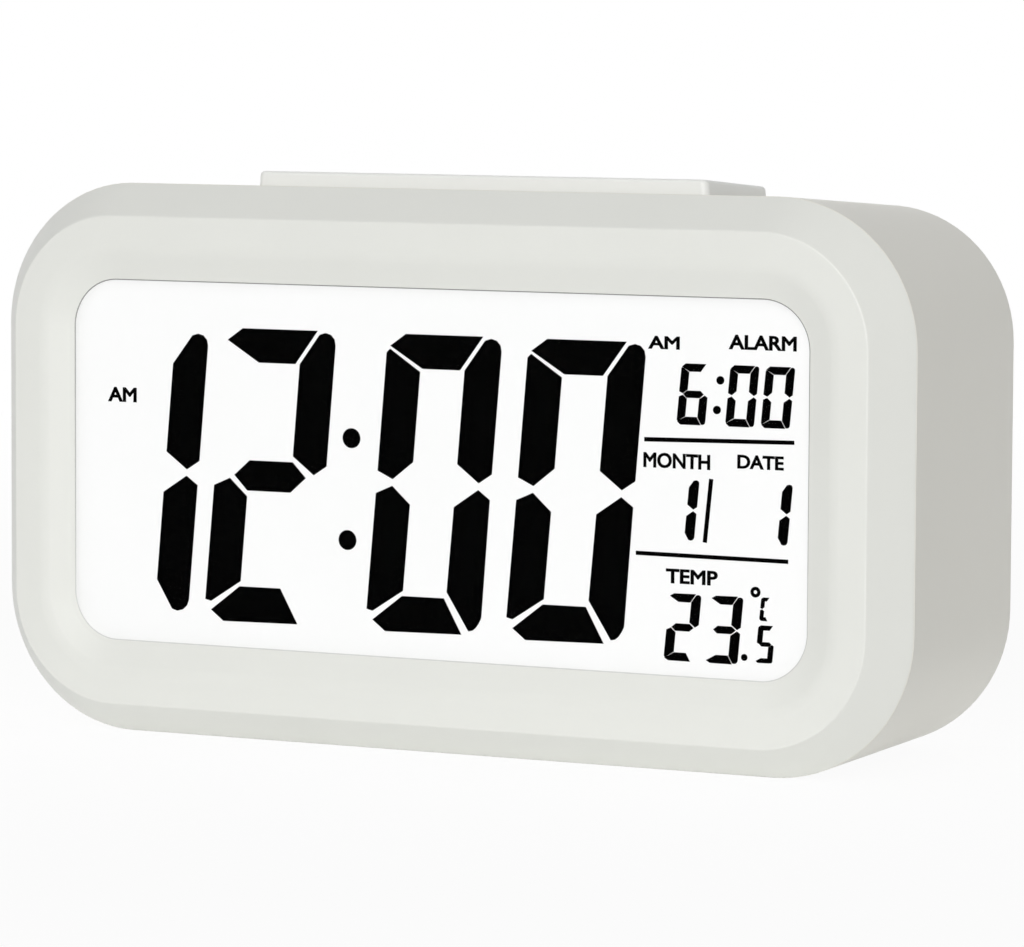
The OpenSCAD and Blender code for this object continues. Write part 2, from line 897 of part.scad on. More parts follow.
module key_switches() {
  color(switch_black)
    for (i = [0:key_count - 1])
      union() {
        block(
          [key_x(i) - switch_w / 2, key_x(i) + switch_w / 2],
          [key_board_back, key_board_back + switch_body],
          [key_z - switch_w / 2, key_z + switch_w / 2]
        );
        rod(key_x(i), key_z, stem_r, key_board_back + switch_body - eps, key_stem_tip);
      }
}

// The flat cable between the boards, in a slack bow
module key_ribbon() {
  ribbon_w = 9;
  ribbon_x = 12;
  ribbon_t = 0.8;
  bow = 4;
  steps = 12;
  ribbon_z = key_z - key_board_h / 2 + 2;
  line = [
    for (i = [0:steps])
      let (f = i / steps)
        [board_back + (key_board_front - board_back) * f, ribbon_z - bow * sin(180 * f)]
  ];
  color([0.75, 0.75, 0.72])
    translate([ribbon_x, 0, 0])
      across(ribbon_w)
        polygon(concat(line, [for (i = [steps:-1:0]) line[i] + [0, ribbon_t]]));
}

module rear_key(i) {
  color(key_white)
    union() {
      intersection() {
        slab(key_flange_front, case_d + key_proud)
          translate([key_x(i), key_z])
            stadium(key_w, key_h);
        translate([key_x(i), front_y + case_d + key_proud - key_crown_r, key_z])
          sphere(key_crown_r);
      }
      slab(key_flange_front, key_flange_back)
        translate([key_x(i), key_z])
          stadium(key_w + 2 * key_flange, key_h + 2 * key_flange);
      rod(key_x(i), key_z, key_post_r, key_post_tip, key_flange_front + eps);
    }
}

module button_mode() {
  rear_key(0);
}

module button_set() {
  rear_key(1);
}

module button_up() {
  rear_key(2);
}

module button_down() {
  rear_key(3);
}

module button_alarm() {
  rear_key(4);
}

// A flush plate that turns on two pins in its round lower edge, with a springy tongue at the top
module battery_door() {
  lip_z = door_top + latch_lip;
  color(white_abs)
    difference() {
      union() {
        block([-door_w / 2, door_w / 2], [door_front, door_back], [hinge_z, door_top]);
        translate([-door_w / 2, front_y + hinge_d, hinge_z])
          rotate([0, 90, 0])
            cylinder(r = door_t / 2, h = door_w);
        translate([-door_w / 2 - hinge_pin_l, front_y + hinge_d, hinge_z])
          rotate([0, 90, 0])
            cylinder(r = hinge_pin_r, h = door_w + 2 * hinge_pin_l);
        block([-latch_w / 2, latch_w / 2], [door_back - latch_t, door_back], [door_top - 1, lip_z]);
        for (i = [1:ridge_count])
          translate([-ridge_w / 2, front_y + door_back - ridge_r + ridge_proud, door_top - i * ridge_pitch])
            rotate([0, 90, 0])
              cylinder(r = ridge_r, h = ridge_w);
      }
      for (side = [-1, 1])
        block(
          [side * latch_w / 2 - latch_slot / 2, side * latch_w / 2 + latch_slot / 2],
          [door_front - 1, door_back + 1],
          [door_top - latch_l, lip_z + 1]
        );
    }
}

// Cells lie side by side with every second one turned round
module battery_cells() {
  edge = 0.5;
  color([0.25, 0.28, 0.3])
    for (i = [0:cell_count - 1])
      mirror([i % 2 == 0 ? 0 : 1, 0, 0])
        translate([cell_end - cell_l, front_y + cell_axis, cell_z(i)])
          rotate([0, 90, 0])
            rotate_extrude()
              polygon([
                [0, 0],
                [cell_d / 2 - edge, 0],
                [cell_d / 2, edge],
                [cell_d / 2, cell_l - nub_l - edge],
                [cell_d / 2 - edge, cell_l - nub_l],
                [nub_r, cell_l - nub_l],
                [nub_r, cell_l],
                [0, cell_l]
              ]);
}

function coil_point(i, k, n) =
  let (
    f = i / n,
    turn = 360 * coil_turns * f,
    r = coil_base_r + (coil_tip_r - coil_base_r) * f + wire_d / 2 * cos(360 * k / coil_sides),
    run = wire_d / 2 + eps + (spring_l - wire_d - 2 * press_gap) * f + wire_d / 2 * sin(360 * k / coil_sides)
  )
  [run, r * cos(turn), r * sin(turn)];

// Faces of a tube of rings, each of the same number of sides
function tube_faces(rings, sides) = concat(
  [
    for (i = [0:rings - 2], k = [0:sides - 1], half = [0, 1])
      let (next = (k + 1) % sides)
        half == 0
          ? [i * sides + k, i * sides + next, (i + 1) * sides + next]
          : [i * sides + k, (i + 1) * sides + next, (i + 1) * sides + k]
  ],
  [for (k = [1:sides - 2]) [0, k + 1, k]],
  [for (k = [1:sides - 2]) [(rings - 1) * sides, (rings - 1) * sides + k, (rings - 1) * sides + k + 1]]
);

// A cone of wire that presses on a cell's flat end, from a plate at the origin
module coil() {
  n = coil_turns * coil_rings;
  centres = [for (i = [0:n]) (coil_point(i, 0, n) + coil_point(i, coil_sides / 2, n)) / 2];
  gap = min([for (i = [0:n - coil_rings / 2], j = [i + coil_rings / 2:n]) norm(centres[i] - centres[j])]) - wire_d;
  echo(str("least gap between the turns of a contact spring: ", gap));
  polyhedron(
    [for (i = [0:n], k = [0:coil_sides - 1]) coil_point(i, k, n)],
    tube_faces(n + 1, coil_sides)
  );
}

// The contact parts of one cell's end, drawn for the left wall
module spring_end(i) {
  translate([-space_w / 2 + plate_t, front_y + cell_axis, cell_z(i)])
    coil();
}

module plate_end(i) {
  translate([-space_w / 2 + plate_t - eps, front_y + cell_axis, cell_z(i)])
    rotate([0, 90, 0])
      cylinder(r1 = dimple_r, r2 = dimple_r / 2, h = dimple_h);
}

module contact_plate(first, last) {
  block(
    [-space_w / 2, -space_w / 2 + plate_t],
    [cell_axis - plate_w / 2, cell_axis + plate_w / 2],
    [cell_z(first) - plate_w / 2, cell_z(last) + plate_w / 2]
  );
}

// The tab that passes the floor of the battery space to its lead
module contact_tab(i) {
  block(
    [-space_w / 2, -space_w / 2 + plate_t],
    [cells_floor - space_wall - tab_l, cell_axis - plate_w / 2 + eps],
    [cell_z(i) - tab_w / 2, cell_z(i) + tab_w / 2]
  );
}

module contact_negative() {
  color(nickel) {
    union() {
      contact_plate(0, 0);
      contact_tab(0);
    }
    spring_end(0);
  }
}

module contact_link_left() {
  color(nickel) {
    union() {
      contact_plate(1, 2);
      plate_end(1);
    }
    spring_end(2);
  }
}

module contact_link_right() {
  color(nickel)
    mirror([1, 0, 0]) {
      union() {
        contact_plate(0, 1);
        plate_end(0);
      }
      spring_end(1);
    }
}

module contact_positive() {
  color(nickel)
    mirror([1, 0, 0])
      union() {
        contact_plate(2, 2);
        contact_tab(2);
        plate_end(2);
      }
}

module piezo_disc() {
  color([0.8, 0.65, 0.3])
    union() {
      rod(disc_x, disc_z, disc_r, disc_seat - disc_t, disc_seat);
      rod(disc_x, disc_z, ceramic_r, disc_seat - disc_t - ceramic_t, disc_seat - disc_t + eps);
    }
}

// A soft curve through the points of a route
function curve(p, steps) = concat(
  [
    for (i = [0:len(p) - 2], k = [0:steps - 1])
      let (
        t = k / steps,
        a = p[max(i - 1, 0)],
        b = p[i],
        c = p[i + 1],
        d = p[min(i + 2, len(p) - 1)]
      )
        b + (c - a) * t / 2 + (2 * a - 5 * b + 4 * c - d) * t * t / 2 + (3 * b - a - 3 * c + d) * t * t * t / 2
  ],
  [p[len(p) - 1]]
);

// An insulated lead along a route of points in x, depth and z
module lead(route, d) {
  sides = 8;
  path = curve([for (p = route) [p[0], front_y + p[1], p[2]]], 3);
  last = len(path) - 1;
  points = [
    for (i = [0:last], k = [0:sides - 1])
      let (
        t = unit(path[min(i + 1, last)] - path[max(i - 1, 0)]),
        u = unit(cross(t, [0, 0, 1])),
        v = cross(u, t)
      )
        path[i] + d / 2 * (cos(360 * k / sides) * u + sin(360 * k / sides) * v)
  ];
  polyhedron(points, tube_faces(last + 1, sides));
}

// A battery lead's thickness, and how far it runs straight, swings inwards and ends on the board
lead_d = 1.2;
lead_start = cells_floor - space_wall - tab_l - fit;
lead_side = space_w / 2 - plate_t / 2;
lead_straight = 4;
lead_swing = 4;
lead_drop = 3;
// A sounder lead's thickness, its solder points on the disc, and its way to the board
buzzer_lead_d = 1;
rim_solder = 1.7;
solder_low = 3;
buzzer_straight = 5;
buzzer_drop = 4;
buzzer_swing = 3;

// The route of a battery lead from a contact's tab to the board, on the side and towards the height given
function battery_route(side, z, way) = [
  [side * lead_side, lead_start, z],
  [side * lead_side, lead_start - lead_straight, z],
  [side * (lead_side - lead_swing + lead_d), board_back + 2 * lead_drop, z + way * (lead_swing - lead_d)],
  [side * (lead_side - lead_swing), board_back + lead_drop, z + way * lead_swing],
  [side * (lead_side - lead_swing), board_back + fit, z + way * lead_swing]
];

module battery_lead_red() {
  color([0.75, 0.08, 0.06])
    lead(battery_route(1, cell_z(2), -1), lead_d);
}

module battery_lead_black() {
  color([0.08, 0.08, 0.08])
    lead(battery_route(-1, cell_z(0), 1), lead_d);
}

// Two thin leads, from the ceramic and from the rim of the disc
module buzzer_leads() {
  disc_face = disc_seat - disc_t - fit;
  color([0.6, 0.1, 0.1])
    for (end = [[0, ceramic_t], [ceramic_r + rim_solder, 0]])
      lead([
        [disc_x + end[0], disc_face - end[1], disc_z - solder_low],
        [disc_x + end[0], disc_face - buzzer_straight, disc_z - solder_low],
        [disc_x + end[0] / 2 + buzzer_swing - buzzer_lead_d, board_back + 2 * buzzer_drop, disc_z],
        [disc_x + end[0] / 3 + buzzer_swing, board_back + buzzer_drop, disc_z + buzzer_lead_d],
        [disc_x + end[0] / 3 + buzzer_swing, board_back + fit, disc_z + buzzer_lead_d]
      ], buzzer_lead_d);
}

// A cross-slotted screw whose head bears on one depth, driven towards the front
module screw(x, z, seat, d, length, head_r, way) {
  slot_w = 0.6;
  slot_rim = 0.6;
  slot_l = 2 * (head_r - slot_rim);
  head = way > 0 ? [seat, seat + head_t] : [seat - head_t, seat];
  difference() {
    union() {
      rod(x, z, d / 2, way > 0 ? seat - length : seat - eps, way > 0 ? seat + eps : seat + length);
      rod(x, z, head_r, head[0], head[1]);
    }
    for (turn = [0, 90])
      translate([x, front_y + (way > 0 ? head[1] : head[0]), z])
        rotate([0, turn, 0])
          cube([slot_l, head_t, slot_w], center = true);
  }
}

module case_screws() {
  color(steel)
    for (x = [-boss_x, boss_x], z = [mid_z - case_boss_z, mid_z + case_boss_z])
      screw(x, z, well_seat, case_screw_d, well_floor + screw_bite, case_head_r, 1);
}

module board_screws() {
  color(steel)
    for (x = [-boss_x, boss_x], z = [mid_z - board_boss_z, mid_z + board_boss_z])
      screw(x, z, board_back, board_screw_d, board_t + screw_bite - screw_clear, board_head_r, 1);
}

module key_board_screws() {
  color(steel)
    for (x = [-key_boss_x, key_boss_x])
      screw(x, key_z, key_board_front, board_screw_d, board_t + screw_bite - screw_clear, board_head_r, -1);
}

front_bezel();
display_lens();
lcd_panel();
lcd_segments();
lcd_frame();
light_guide();
reflector_sheet();
backlight_leds();
zebra_strip();
main_board();
chip_cap();
crystal_can();
capacitors();
thermistor();
snooze_switch();
rear_shell();
snooze_bar();
key_board();
key_switches();
key_ribbon();
button_mode();
button_set();
button_up();
button_down();
button_alarm();
battery_door();
battery_cells();
contact_negative();
contact_positive();
contact_link_left();
contact_link_right();
piezo_disc();
buzzer_leads();
battery_lead_red();
battery_lead_black();
case_screws();
board_screws();
key_board_screws();
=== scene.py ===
import math

import bmesh
import bpy
from mathutils import Matrix, Vector


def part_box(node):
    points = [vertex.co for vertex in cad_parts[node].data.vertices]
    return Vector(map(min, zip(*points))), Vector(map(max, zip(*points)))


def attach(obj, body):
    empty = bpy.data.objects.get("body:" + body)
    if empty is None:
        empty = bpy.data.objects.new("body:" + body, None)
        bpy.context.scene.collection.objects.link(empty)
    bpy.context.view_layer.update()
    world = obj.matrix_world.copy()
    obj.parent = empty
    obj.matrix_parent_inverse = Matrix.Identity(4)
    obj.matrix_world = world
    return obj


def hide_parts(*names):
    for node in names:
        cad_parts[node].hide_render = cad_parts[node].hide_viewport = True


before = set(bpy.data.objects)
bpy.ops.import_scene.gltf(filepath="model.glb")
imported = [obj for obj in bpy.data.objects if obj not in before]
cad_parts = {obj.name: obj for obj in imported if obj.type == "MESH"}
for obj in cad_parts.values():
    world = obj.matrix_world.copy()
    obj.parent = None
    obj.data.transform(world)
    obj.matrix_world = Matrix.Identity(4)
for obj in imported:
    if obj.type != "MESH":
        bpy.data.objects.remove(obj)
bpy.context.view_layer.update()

# Front ring
# A white ABS moulding: a wide chamfer, a flat band, and an inner part that slopes down to the window.
# It is one piece up to the parting line, where a thin tongue enters the rear shell.
mm = 0.001
ring_low, ring_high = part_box("front_bezel")
front_y = ring_low.y
case_w = ring_high.x - ring_low.x
case_h = ring_high.z
mid_z = case_h / 2
corner_r = 19.5 * mm
wall = 2 * mm
chamfer_w = 4.3 * mm
chamfer_d = 5.8 * mm
window_in = chamfer_w + 8.6 * mm
slope_w = 4 * mm
slope_fall = 1.35 * mm
lip_w = 0.5 * mm
lens_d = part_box("display_lens")[0].y - front_y
ring_back = lens_d + 0.4 * mm
rebate_in = window_in - 2.6 * mm
tongue_in = wall + 0.3 * mm
tongue_t = 1.2 * mm
tongue_end = chamfer_d + 2.5 * mm
chamfer_inner = chamfer_w + 1.7 * mm
tongue_root = chamfer_d - 1.4 * mm
soft_edge = 0.15 * mm
ridge_round = 0.2 * mm
slope_round = 0.9 * mm
lip_round = 0.08 * mm
lip_land = 0.1 * mm

# Each corner of the section: its distance in from the case's edge, its depth and the reach of its rounding
ring_section = [
    (0, chamfer_d, soft_edge),
    (chamfer_w, 0, ridge_round),
    (window_in - slope_w, 0, slope_round),
    (window_in - lip_w, slope_fall, ridge_round),
    (window_in, lens_d - lip_land, lip_round),
    (window_in, lens_d, 0),
    (rebate_in, lens_d, 0),
    (rebate_in, ring_back, 0),
    (chamfer_inner, ring_back, 0),
    (tongue_in + tongue_t, tongue_root, 0),
    (tongue_in + tongue_t, tongue_end, 0),
    (tongue_in, tongue_end, 0),
    (tongue_in, chamfer_d, 0),
]
round_bevel = {"profile": 0.5, "material": -1}
corner_steps = 20
crease = math.radians(30)
weld = 0.001 * mm


def rounded_wire(bm, points):
    """A closed wire through points, each given with the reach of its rounding."""
    verts = [bm.verts.new(place) for place, reach in points]
    for pair in zip(verts, verts[1:] + verts[:1]):
        bm.edges.new(pair)
    for vert, (place, reach) in zip(verts, points):
        if reach:
            bmesh.ops.bevel(bm, geom=[vert], offset=reach, affect="VERTICES", segments=5, **round_bevel)
    return bm.verts[:] + bm.edges[:]


def swept_ring(bm, section):
    """Carries a closed section, drawn at the left end of the top run, along four sides and four corners."""
    run_x = case_w / 2 - corner_r
    run_z = case_h / 2 - corner_r
    corners = [(Vector((-run_x, front_y + d, case_h - inset)), reach) for inset, d, reach in section]
    wire = rounded_wire(bm, corners)
    sides = [
        ((2 * run_x, 0, 0), (run_x, 0, mid_z + run_z)),
        ((0, 0, -2 * run_z), (run_x, 0, mid_z - run_z)),
        ((-2 * run_x, 0, 0), (-run_x, 0, mid_z - run_z)),
        ((0, 0, 2 * run_z), (-run_x, 0, mid_z + run_z)),
    ]
    for run, corner in sides:
        way = {"cent": corner, "axis": (0, 1, 0)}
        wire = bmesh.ops.spin(bm, geom=wire, dvec=run, angle=0, steps=1, **way)["geom_last"]
        wire = bmesh.ops.spin(bm, geom=wire, angle=math.pi / 2, steps=corner_steps, **way)["geom_last"]


def closed(bm):
    """Closes the seams of a turned or swept mesh and turns its faces outwards."""
    bmesh.ops.remove_doubles(bm, verts=bm.verts[:], dist=weld)
    bmesh.ops.recalc_face_normals(bm, faces=bm.faces[:])


def turned(bm, outline, x=0, z=0, steps=32):
    """A round solid along the depth: its outline gives radius and depth behind the front."""
    verts = [bm.verts.new((x + r, front_y + d, z)) for r, d in outline]
    edges = [bm.edges.new(pair) for pair in zip(verts, verts[1:])]
    way = {"cent": (x, 0, z), "axis": (0, 1, 0), "angle": math.tau, "steps": steps, "use_merge": True}
    bmesh.ops.spin(bm, geom=verts + edges, **way)


def carved(bm, tool, operation):
    """The first solid joined to a second one (UNION) or cut by it (DIFFERENCE)."""
    solids = []
    for source in (bm, tool):
        closed(source)
        mesh = bpy.data.meshes.new("solid")
        source.to_mesh(mesh)
        source.free()
        solids.append(bpy.data.objects.new("solid", mesh))
        bpy.context.scene.collection.objects.link(solids[-1])
    step = solids[0].modifiers.new("step", "BOOLEAN")
    step.operation = operation
    step.solver = "EXACT"
    step.use_self = True
    step.object = solids[1]
    made = bmesh.new()
    made.from_object(solids[0], bpy.context.evaluated_depsgraph_get())
    for helper in solids:
        bpy.data.meshes.remove(helper.data)
    return made


class Field:
    """One socket of a material's nodes. Sums and products of fields add Math nodes."""

    def __init__(self, socket):
        self.socket = socket

    def node(self, kind, settings=None, sockets=None, out=0):
        """Adds a node of this kind beside the socket's own and gives one of its outputs."""
        tree = self.socket.id_data
        made = tree.nodes.new(kind)
        for name, value in (settings or {}).items():
            setattr(made, name, value)
        for name, value in (sockets or {}).items():
            if isinstance(value, Field):
                tree.links.new(value.socket, made.inputs[name])
            else:
                made.inputs[name].default_value = value
        return Field(made.outputs[out])

    def math(self, operation, first, second):
        """A Math node on two fields or numbers."""
        return self.node("ShaderNodeMath", {"operation": operation}, {0: first, 1: second})

    def __add__(self, other):
        return self.math("ADD", self, other)

    def __mul__(self, other):
        return self.math("MULTIPLY", self, other)

    def noise(self, size, detail=2):
        """A cloudy field whose lumps have about this size."""
        return self.node("ShaderNodeTexNoise", None, {"Vector": self, "Scale": 1 / size, "Detail": detail})

    def blend(self, first, second):
        """The colour between two colours that this field picks."""
        settings = {"data_type": "RGBA", "clamp_factor": True}
        return self.node("ShaderNodeMix", settings, {0: self, 6: first, 7: second}, out=2)

    def feed(self, shader, name):
        """Links the field to one input of a shader."""
        self.socket.id_data.links.new(self.socket, shader.inputs[name])


def shade(colour, share):
    """A colour made lighter or darker by a share of itself."""
    return tuple(min(1, c * share) for c in colour) + (1,)


def finish(name, constants):
    """A new material: its shader with constant inputs set, and the place on the piece as a field."""
    material = bpy.data.materials.new(name)
    material.use_nodes = True
    shader = material.node_tree.nodes["Principled BSDF"]
    for key, value in constants.items():
        shader.inputs[key].default_value = value
    place = Field(material.node_tree.nodes.new("ShaderNodeTexCoord").outputs["Object"])
    return material, shader, place


cloud_size = 18 * mm
cloud_share = 0.7
cloud_gloss = 0.08
grain_gloss = 0.1
grain_depth = 0.006 * mm


def moulded(name, colour, roughness, grain=0.35 * mm, drift=0.02, **constants):
    """A moulded plastic: fine grain from the tool, with a slight drift of tone and gloss."""
    material, shader, place = finish(name, constants)
    cloud = place.noise(cloud_size)
    speck = place.noise(grain, detail=4)
    tone = cloud * cloud_share + speck * (1 - cloud_share)
    tone.blend(shade(colour, 1 - drift), shade(colour, 1 + drift)).feed(shader, "Base Color")
    base = roughness - (cloud_gloss + grain_gloss) / 2
    (cloud * cloud_gloss + speck * grain_gloss + base).feed(shader, "Roughness")
    bump = {"Height": speck, "Strength": 0.5, "Distance": grain_depth}
    place.node("ShaderNodeBump", None, bump).feed(shader, "Normal")
    return material


def piece(bm, name, material, body, nodes=()):
    """Makes the finished object: smooth faces, sharp creases, and its place in the assembly."""
    mesh = bpy.data.meshes.new(name)
    bmesh.ops.dissolve_degenerate(bm, dist=weld, edges=bm.edges[:])
    bm.to_mesh(mesh)
    bm.free()
    mesh.materials.append(material)
    mesh.shade_smooth()
    mesh.set_sharp_from_angle(angle=crease)
    made = bpy.data.objects.new(name, mesh)
    bpy.context.scene.collection.objects.link(made)
    even = made.modifiers.new("even_shading", "WEIGHTED_NORMAL")
    even.keep_sharp = True
    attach(made, body)
    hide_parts(*nodes)
    return made


white_plastic = moulded("white_plastic", (0.852, 0.86, 0.815), 0.42, IOR=1.53)

boss_r = 2.2 * mm
boss_start = ring_back - 0.5 * mm
case_bore_r = 1.01 * mm
board_bore_r = 0.86 * mm
case_head_r = 2.1 * mm
boss_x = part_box("case_screws")[1].x - case_head_r
case_boss_z = 19 * mm
board_boss_z = 7 * mm
board_low, board_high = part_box("main_board")
board_front = board_low.y - front_y
board_back = board_high.y - front_y
case_boss_end = board_back + 1.2 * mm


def bored_boss(bm, x, z, bore, end):
    """A screw boss behind the ring, with a blind bore that opens at its rear end."""
    floor_d = boss_start + wall
    walls = [(boss_r, boss_start), (boss_r, end), (bore, end), (bore, floor_d)]
    turned(bm, [(0, boss_start)] + walls + [(0, floor_d)], x, z, steps=24)


ring = bmesh.new()
swept_ring(ring, ring_section)
bosses = bmesh.new()
for x in (-boss_x, boss_x):
    for side in (-1, 1):
        bored_boss(bosses, x, mid_z + side * case_boss_z, case_bore_r, case_boss_end)
        bored_boss(bosses, x, mid_z + side * board_boss_z, board_bore_r, board_front)
ring = carved(ring, bosses, "UNION")
piece(ring, "front_ring", white_plastic, "case", ["front_bezel"])

# Window
# A flat plate of clear acrylic, die-cut to the ring's opening and held in the rebate behind its lip.
# A thin grey bead in the corner between the plate and the lip is painted shadow: the shade line under the
# lip, painted darker towards the top.


def dress(finishes):
    """Gives each CAD node a finish of its own."""
    for node, material in finishes.items():
        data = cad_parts[node].data
        data.materials.clear()
        data.materials.append(material)


lens_clear, lens_shader, lens_place = finish(
    "lens_clear", {"Base Color": (0.01, 0.01, 0.01, 1), "IOR": 1.49, "Alpha": 0.015}
)
(lens_place.noise(9 * mm) * 0.05 + 0.02).feed(lens_shader, "Roughness")
dress({"display_lens": lens_clear})

lip_shadow_w = 0.12 * mm
lip_shadow_h = 0.08 * mm
lip_shadow_edge = 0.01 * mm
lip_shadow_sink = 0.02 * mm
window_half = mid_z - window_in
lip_shadow_grey, lip_shadow_shader, lip_shadow_place = finish("lip_shadow_grey", {"Roughness": 0.6})
lip_shadow_up = lip_shadow_place.node("ShaderNodeSeparateXYZ", None, {"Vector": lip_shadow_place}, out="Z")
span = {"Value": lip_shadow_up, "From Min": mid_z - window_half, "From Max": mid_z + window_half}
lip_shadow_share = lip_shadow_up.node("ShaderNodeMapRange", None, span)
# Painted shadow: the bead's grey runs from light at the window's foot to dark at its top, as the lip's
# shade.
lip_shadow_share.blend((0.72, 0.72, 0.7, 1), (0.28, 0.28, 0.27, 1)).feed(lip_shadow_shader, "Base Color")
lip_shadow_section = [
    (window_in - lip_shadow_sink, lens_d - lip_shadow_h, 0),
    (window_in + lip_shadow_w, lens_d - lip_shadow_edge, 0),
    (window_in + lip_shadow_w, lens_d, 0),
    (window_in - lip_shadow_sink, lens_d, 0),
]
lip_shadow_bead = bmesh.new()
swept_ring(lip_shadow_bead, lip_shadow_section)
closed(lip_shadow_bead)
piece(lip_shadow_bead, "window_lip_shadow", lip_shadow_grey, "case")

# Display
# Two glasses with liquid crystal between them, glowing white with an emission that stands for the backlight
# and is partly painted light, and dark figures on the front one.
# The words over the small figures are fixed marks, printed in the same black.
# The glow is set strong enough that the lip casts no visible shade on the display: in part painted light.
lcd_white, lcd_shader, lcd_place = finish(
    "lcd_white", {"Base Color": (0.3, 0.3, 0.3, 1), "Emission Strength": 0.73, "IOR": 1.5}
)
glow_cloud = lcd_place.noise(30 * mm)
glow_cloud.blend((0.97, 0.98, 0.97, 1), (1, 1, 1, 1)).feed(lcd_shader, "Emission Color")
(lcd_place.noise(2 * mm) * 0.1 + 0.3).feed(lcd_shader, "Roughness")
dress({"lcd_panel": lcd_white})

matt = {"drift": 0.2, "Specular IOR Level": 0}
segment_black = moulded("segment_black", (0.0008, 0.0008, 0.0008), 0.6, **matt)
# How far a mark's wall may lean, and the least share that keeps a sharp corner from running far out
wall_lean = 0.5
least_share = 0.5


def islands(bm):
    """The separate parts of a mesh, from left to right, as lists of their vertices."""
    rest = set(bm.verts)
    parts = []
    while rest:
        part = [rest.pop()]
        for vert in part:
            near = {edge.other_vert(vert) for edge in vert.link_edges} & rest
            part.extend(near)
            rest -= near
        parts.append(part)
    return sorted(parts, key=lambda part: min(vert.co.x for vert in part))


def thickened(verts, reach, axis):
    """Moves the walls of flat marks outwards by this reach. The marks lie square to the axis."""
    for vert in verts:
        walls = [face.normal for face in vert.link_faces if abs(face.normal.dot(axis)) < wall_lean]
        way = sum(walls, Vector()).normalized()
        vert.co += way * reach / max(least_share, way.dot(walls[0]))


# The figures are the solids' own, trued by parts of a millimetre: the large ones stand a little more
# upright, the leading one is a little shorter, and the small ones are bolder and lie further to the right
figure_low, figure_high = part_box("lcd_segments")
small_left = 29 * mm
small_shift = 0.25 * mm
small_bold = 0.045 * mm
small_drop = 0.0026
large_shift = 0.11 * mm
large_lean = 0.0095
leading_parts = 2
leading_share = 0.966
# At the feet of the large figures the gaps are wider and lie a little elsewhere. Each corner there has its
# place, in mm from the left and lower end of the figure's lowest segment, and its move to the right and up.
foot_lefts = (-34.55, -9.75, 11.15)
foot_low = -21.2
foot_moves = {
    "foot, left tip": ((0, 1.62), (0.44, -0.25)),
    "foot, lower left": ((2.05, 0), (0.32, -0.1)),
    "foot, upper left": ((5.33, 4.55), (-0.45, 0.18)),
    "foot, upper right": ((10.88, 4.55), (0.25, 0.2)),
    "foot, lower right": ((13.53, 0), (0.23, 0.07)),
    "left leg, outside": ((-0.39, 2.5), (-0.05, 0.25)),
    "left leg, tip": ((0.04, 2.04), (0.41, 0.5)),
    "left leg, inside": ((5.01, 4.97), (0, 0.46)),
    "right leg, inside": ((11.58, 4.55), (0, 1.06)),
    "right leg, tip": ((13.93, 0.52), (0.9, 0.05)),
    "right leg, start of its round": ((14.76, 0.26), (0.66, 0.43)),
    "right leg, lower round": ((15.61, 0.48), (0.29, 0.59)),
    "right leg, upper round": ((16.27, 1.09), (0.07, 0.59)),
    "right leg, end of its round": ((16.56, 1.92), (0.15, 0.49)),
}
same_corner = 0.06 * mm


def foot_move(vert):
    """The move of a corner at the foot of a large figure, or none."""
    for left in foot_lefts:
        for (x, z), (right, up) in foot_moves.values():
            corner = Vector(((left + x) * mm, vert.co.y, mid_z + (foot_low + z) * mm))
            if (vert.co - corner).length < same_corner:
                return Vector((right * mm, 0, up * mm))
    return Vector()


figures = bmesh.new()
figures.from_mesh(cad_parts["lcd_segments"].data)
closed(figures)
figures_mid = (figure_low + figure_high) / 2
for order, part in enumerate(islands(figures)):
    small = min(vert.co.x for vert in part) > small_left
    if small:
        thickened(part, small_bold, Vector((0, 1, 0)))
    for vert in part:
        if small:
            vert.co.x += small_shift
            vert.co.z -= small_drop * (vert.co.z - figure_low.z)
        else:
            vert.co.x += large_shift + large_lean * (figure_high.z - vert.co.z)
            vert.co += foot_move(vert)
        if order < leading_parts:
            vert.co.z = figures_mid.z + (vert.co.z - figures_mid.z) * leading_share
piece(figures, "display_figures", segment_black, "case", ["lcd_segments"])

legend_bold = 0.03
letter_weld = 0.004
letter_end = 0.1
# Each word, with its left, right, lower and upper edge in mm from the window's middle
legends = [
    ("AM", -50.3, -45.8, 7.8, 9.8),
    ("AM", 31.05, 35.55, 17.6, 19.3),
    ("ALARM", 42.5, 52, 17.9, 19.8),
    ("MONTH", 30.5, 40, 2.2, 4.2),
    ("DATE", 43.85, 50.35, 2.6, 4.4),
    ("TEMP", 33.8, 41.2, -12.7, -10.8),
]


def upright(part):
    """Draws the splayed legs of a letter upright, as wide at its top as at its foot."""
    height = max(vert.co.y for vert in part)
    feet = [vert.co.x for vert in part if vert.co.y < letter_end * height]
    tops = [vert.co.x for vert in part if vert.co.y > (1 - letter_end) * height]
    middle = (min(feet) + max(feet)) / 2
    splay = (max(feet) - min(feet)) / (max(tops) - min(tops)) - 1
    for vert in part:
        vert.co.x = middle + (vert.co.x - middle) * (1 + splay * vert.co.y / height)


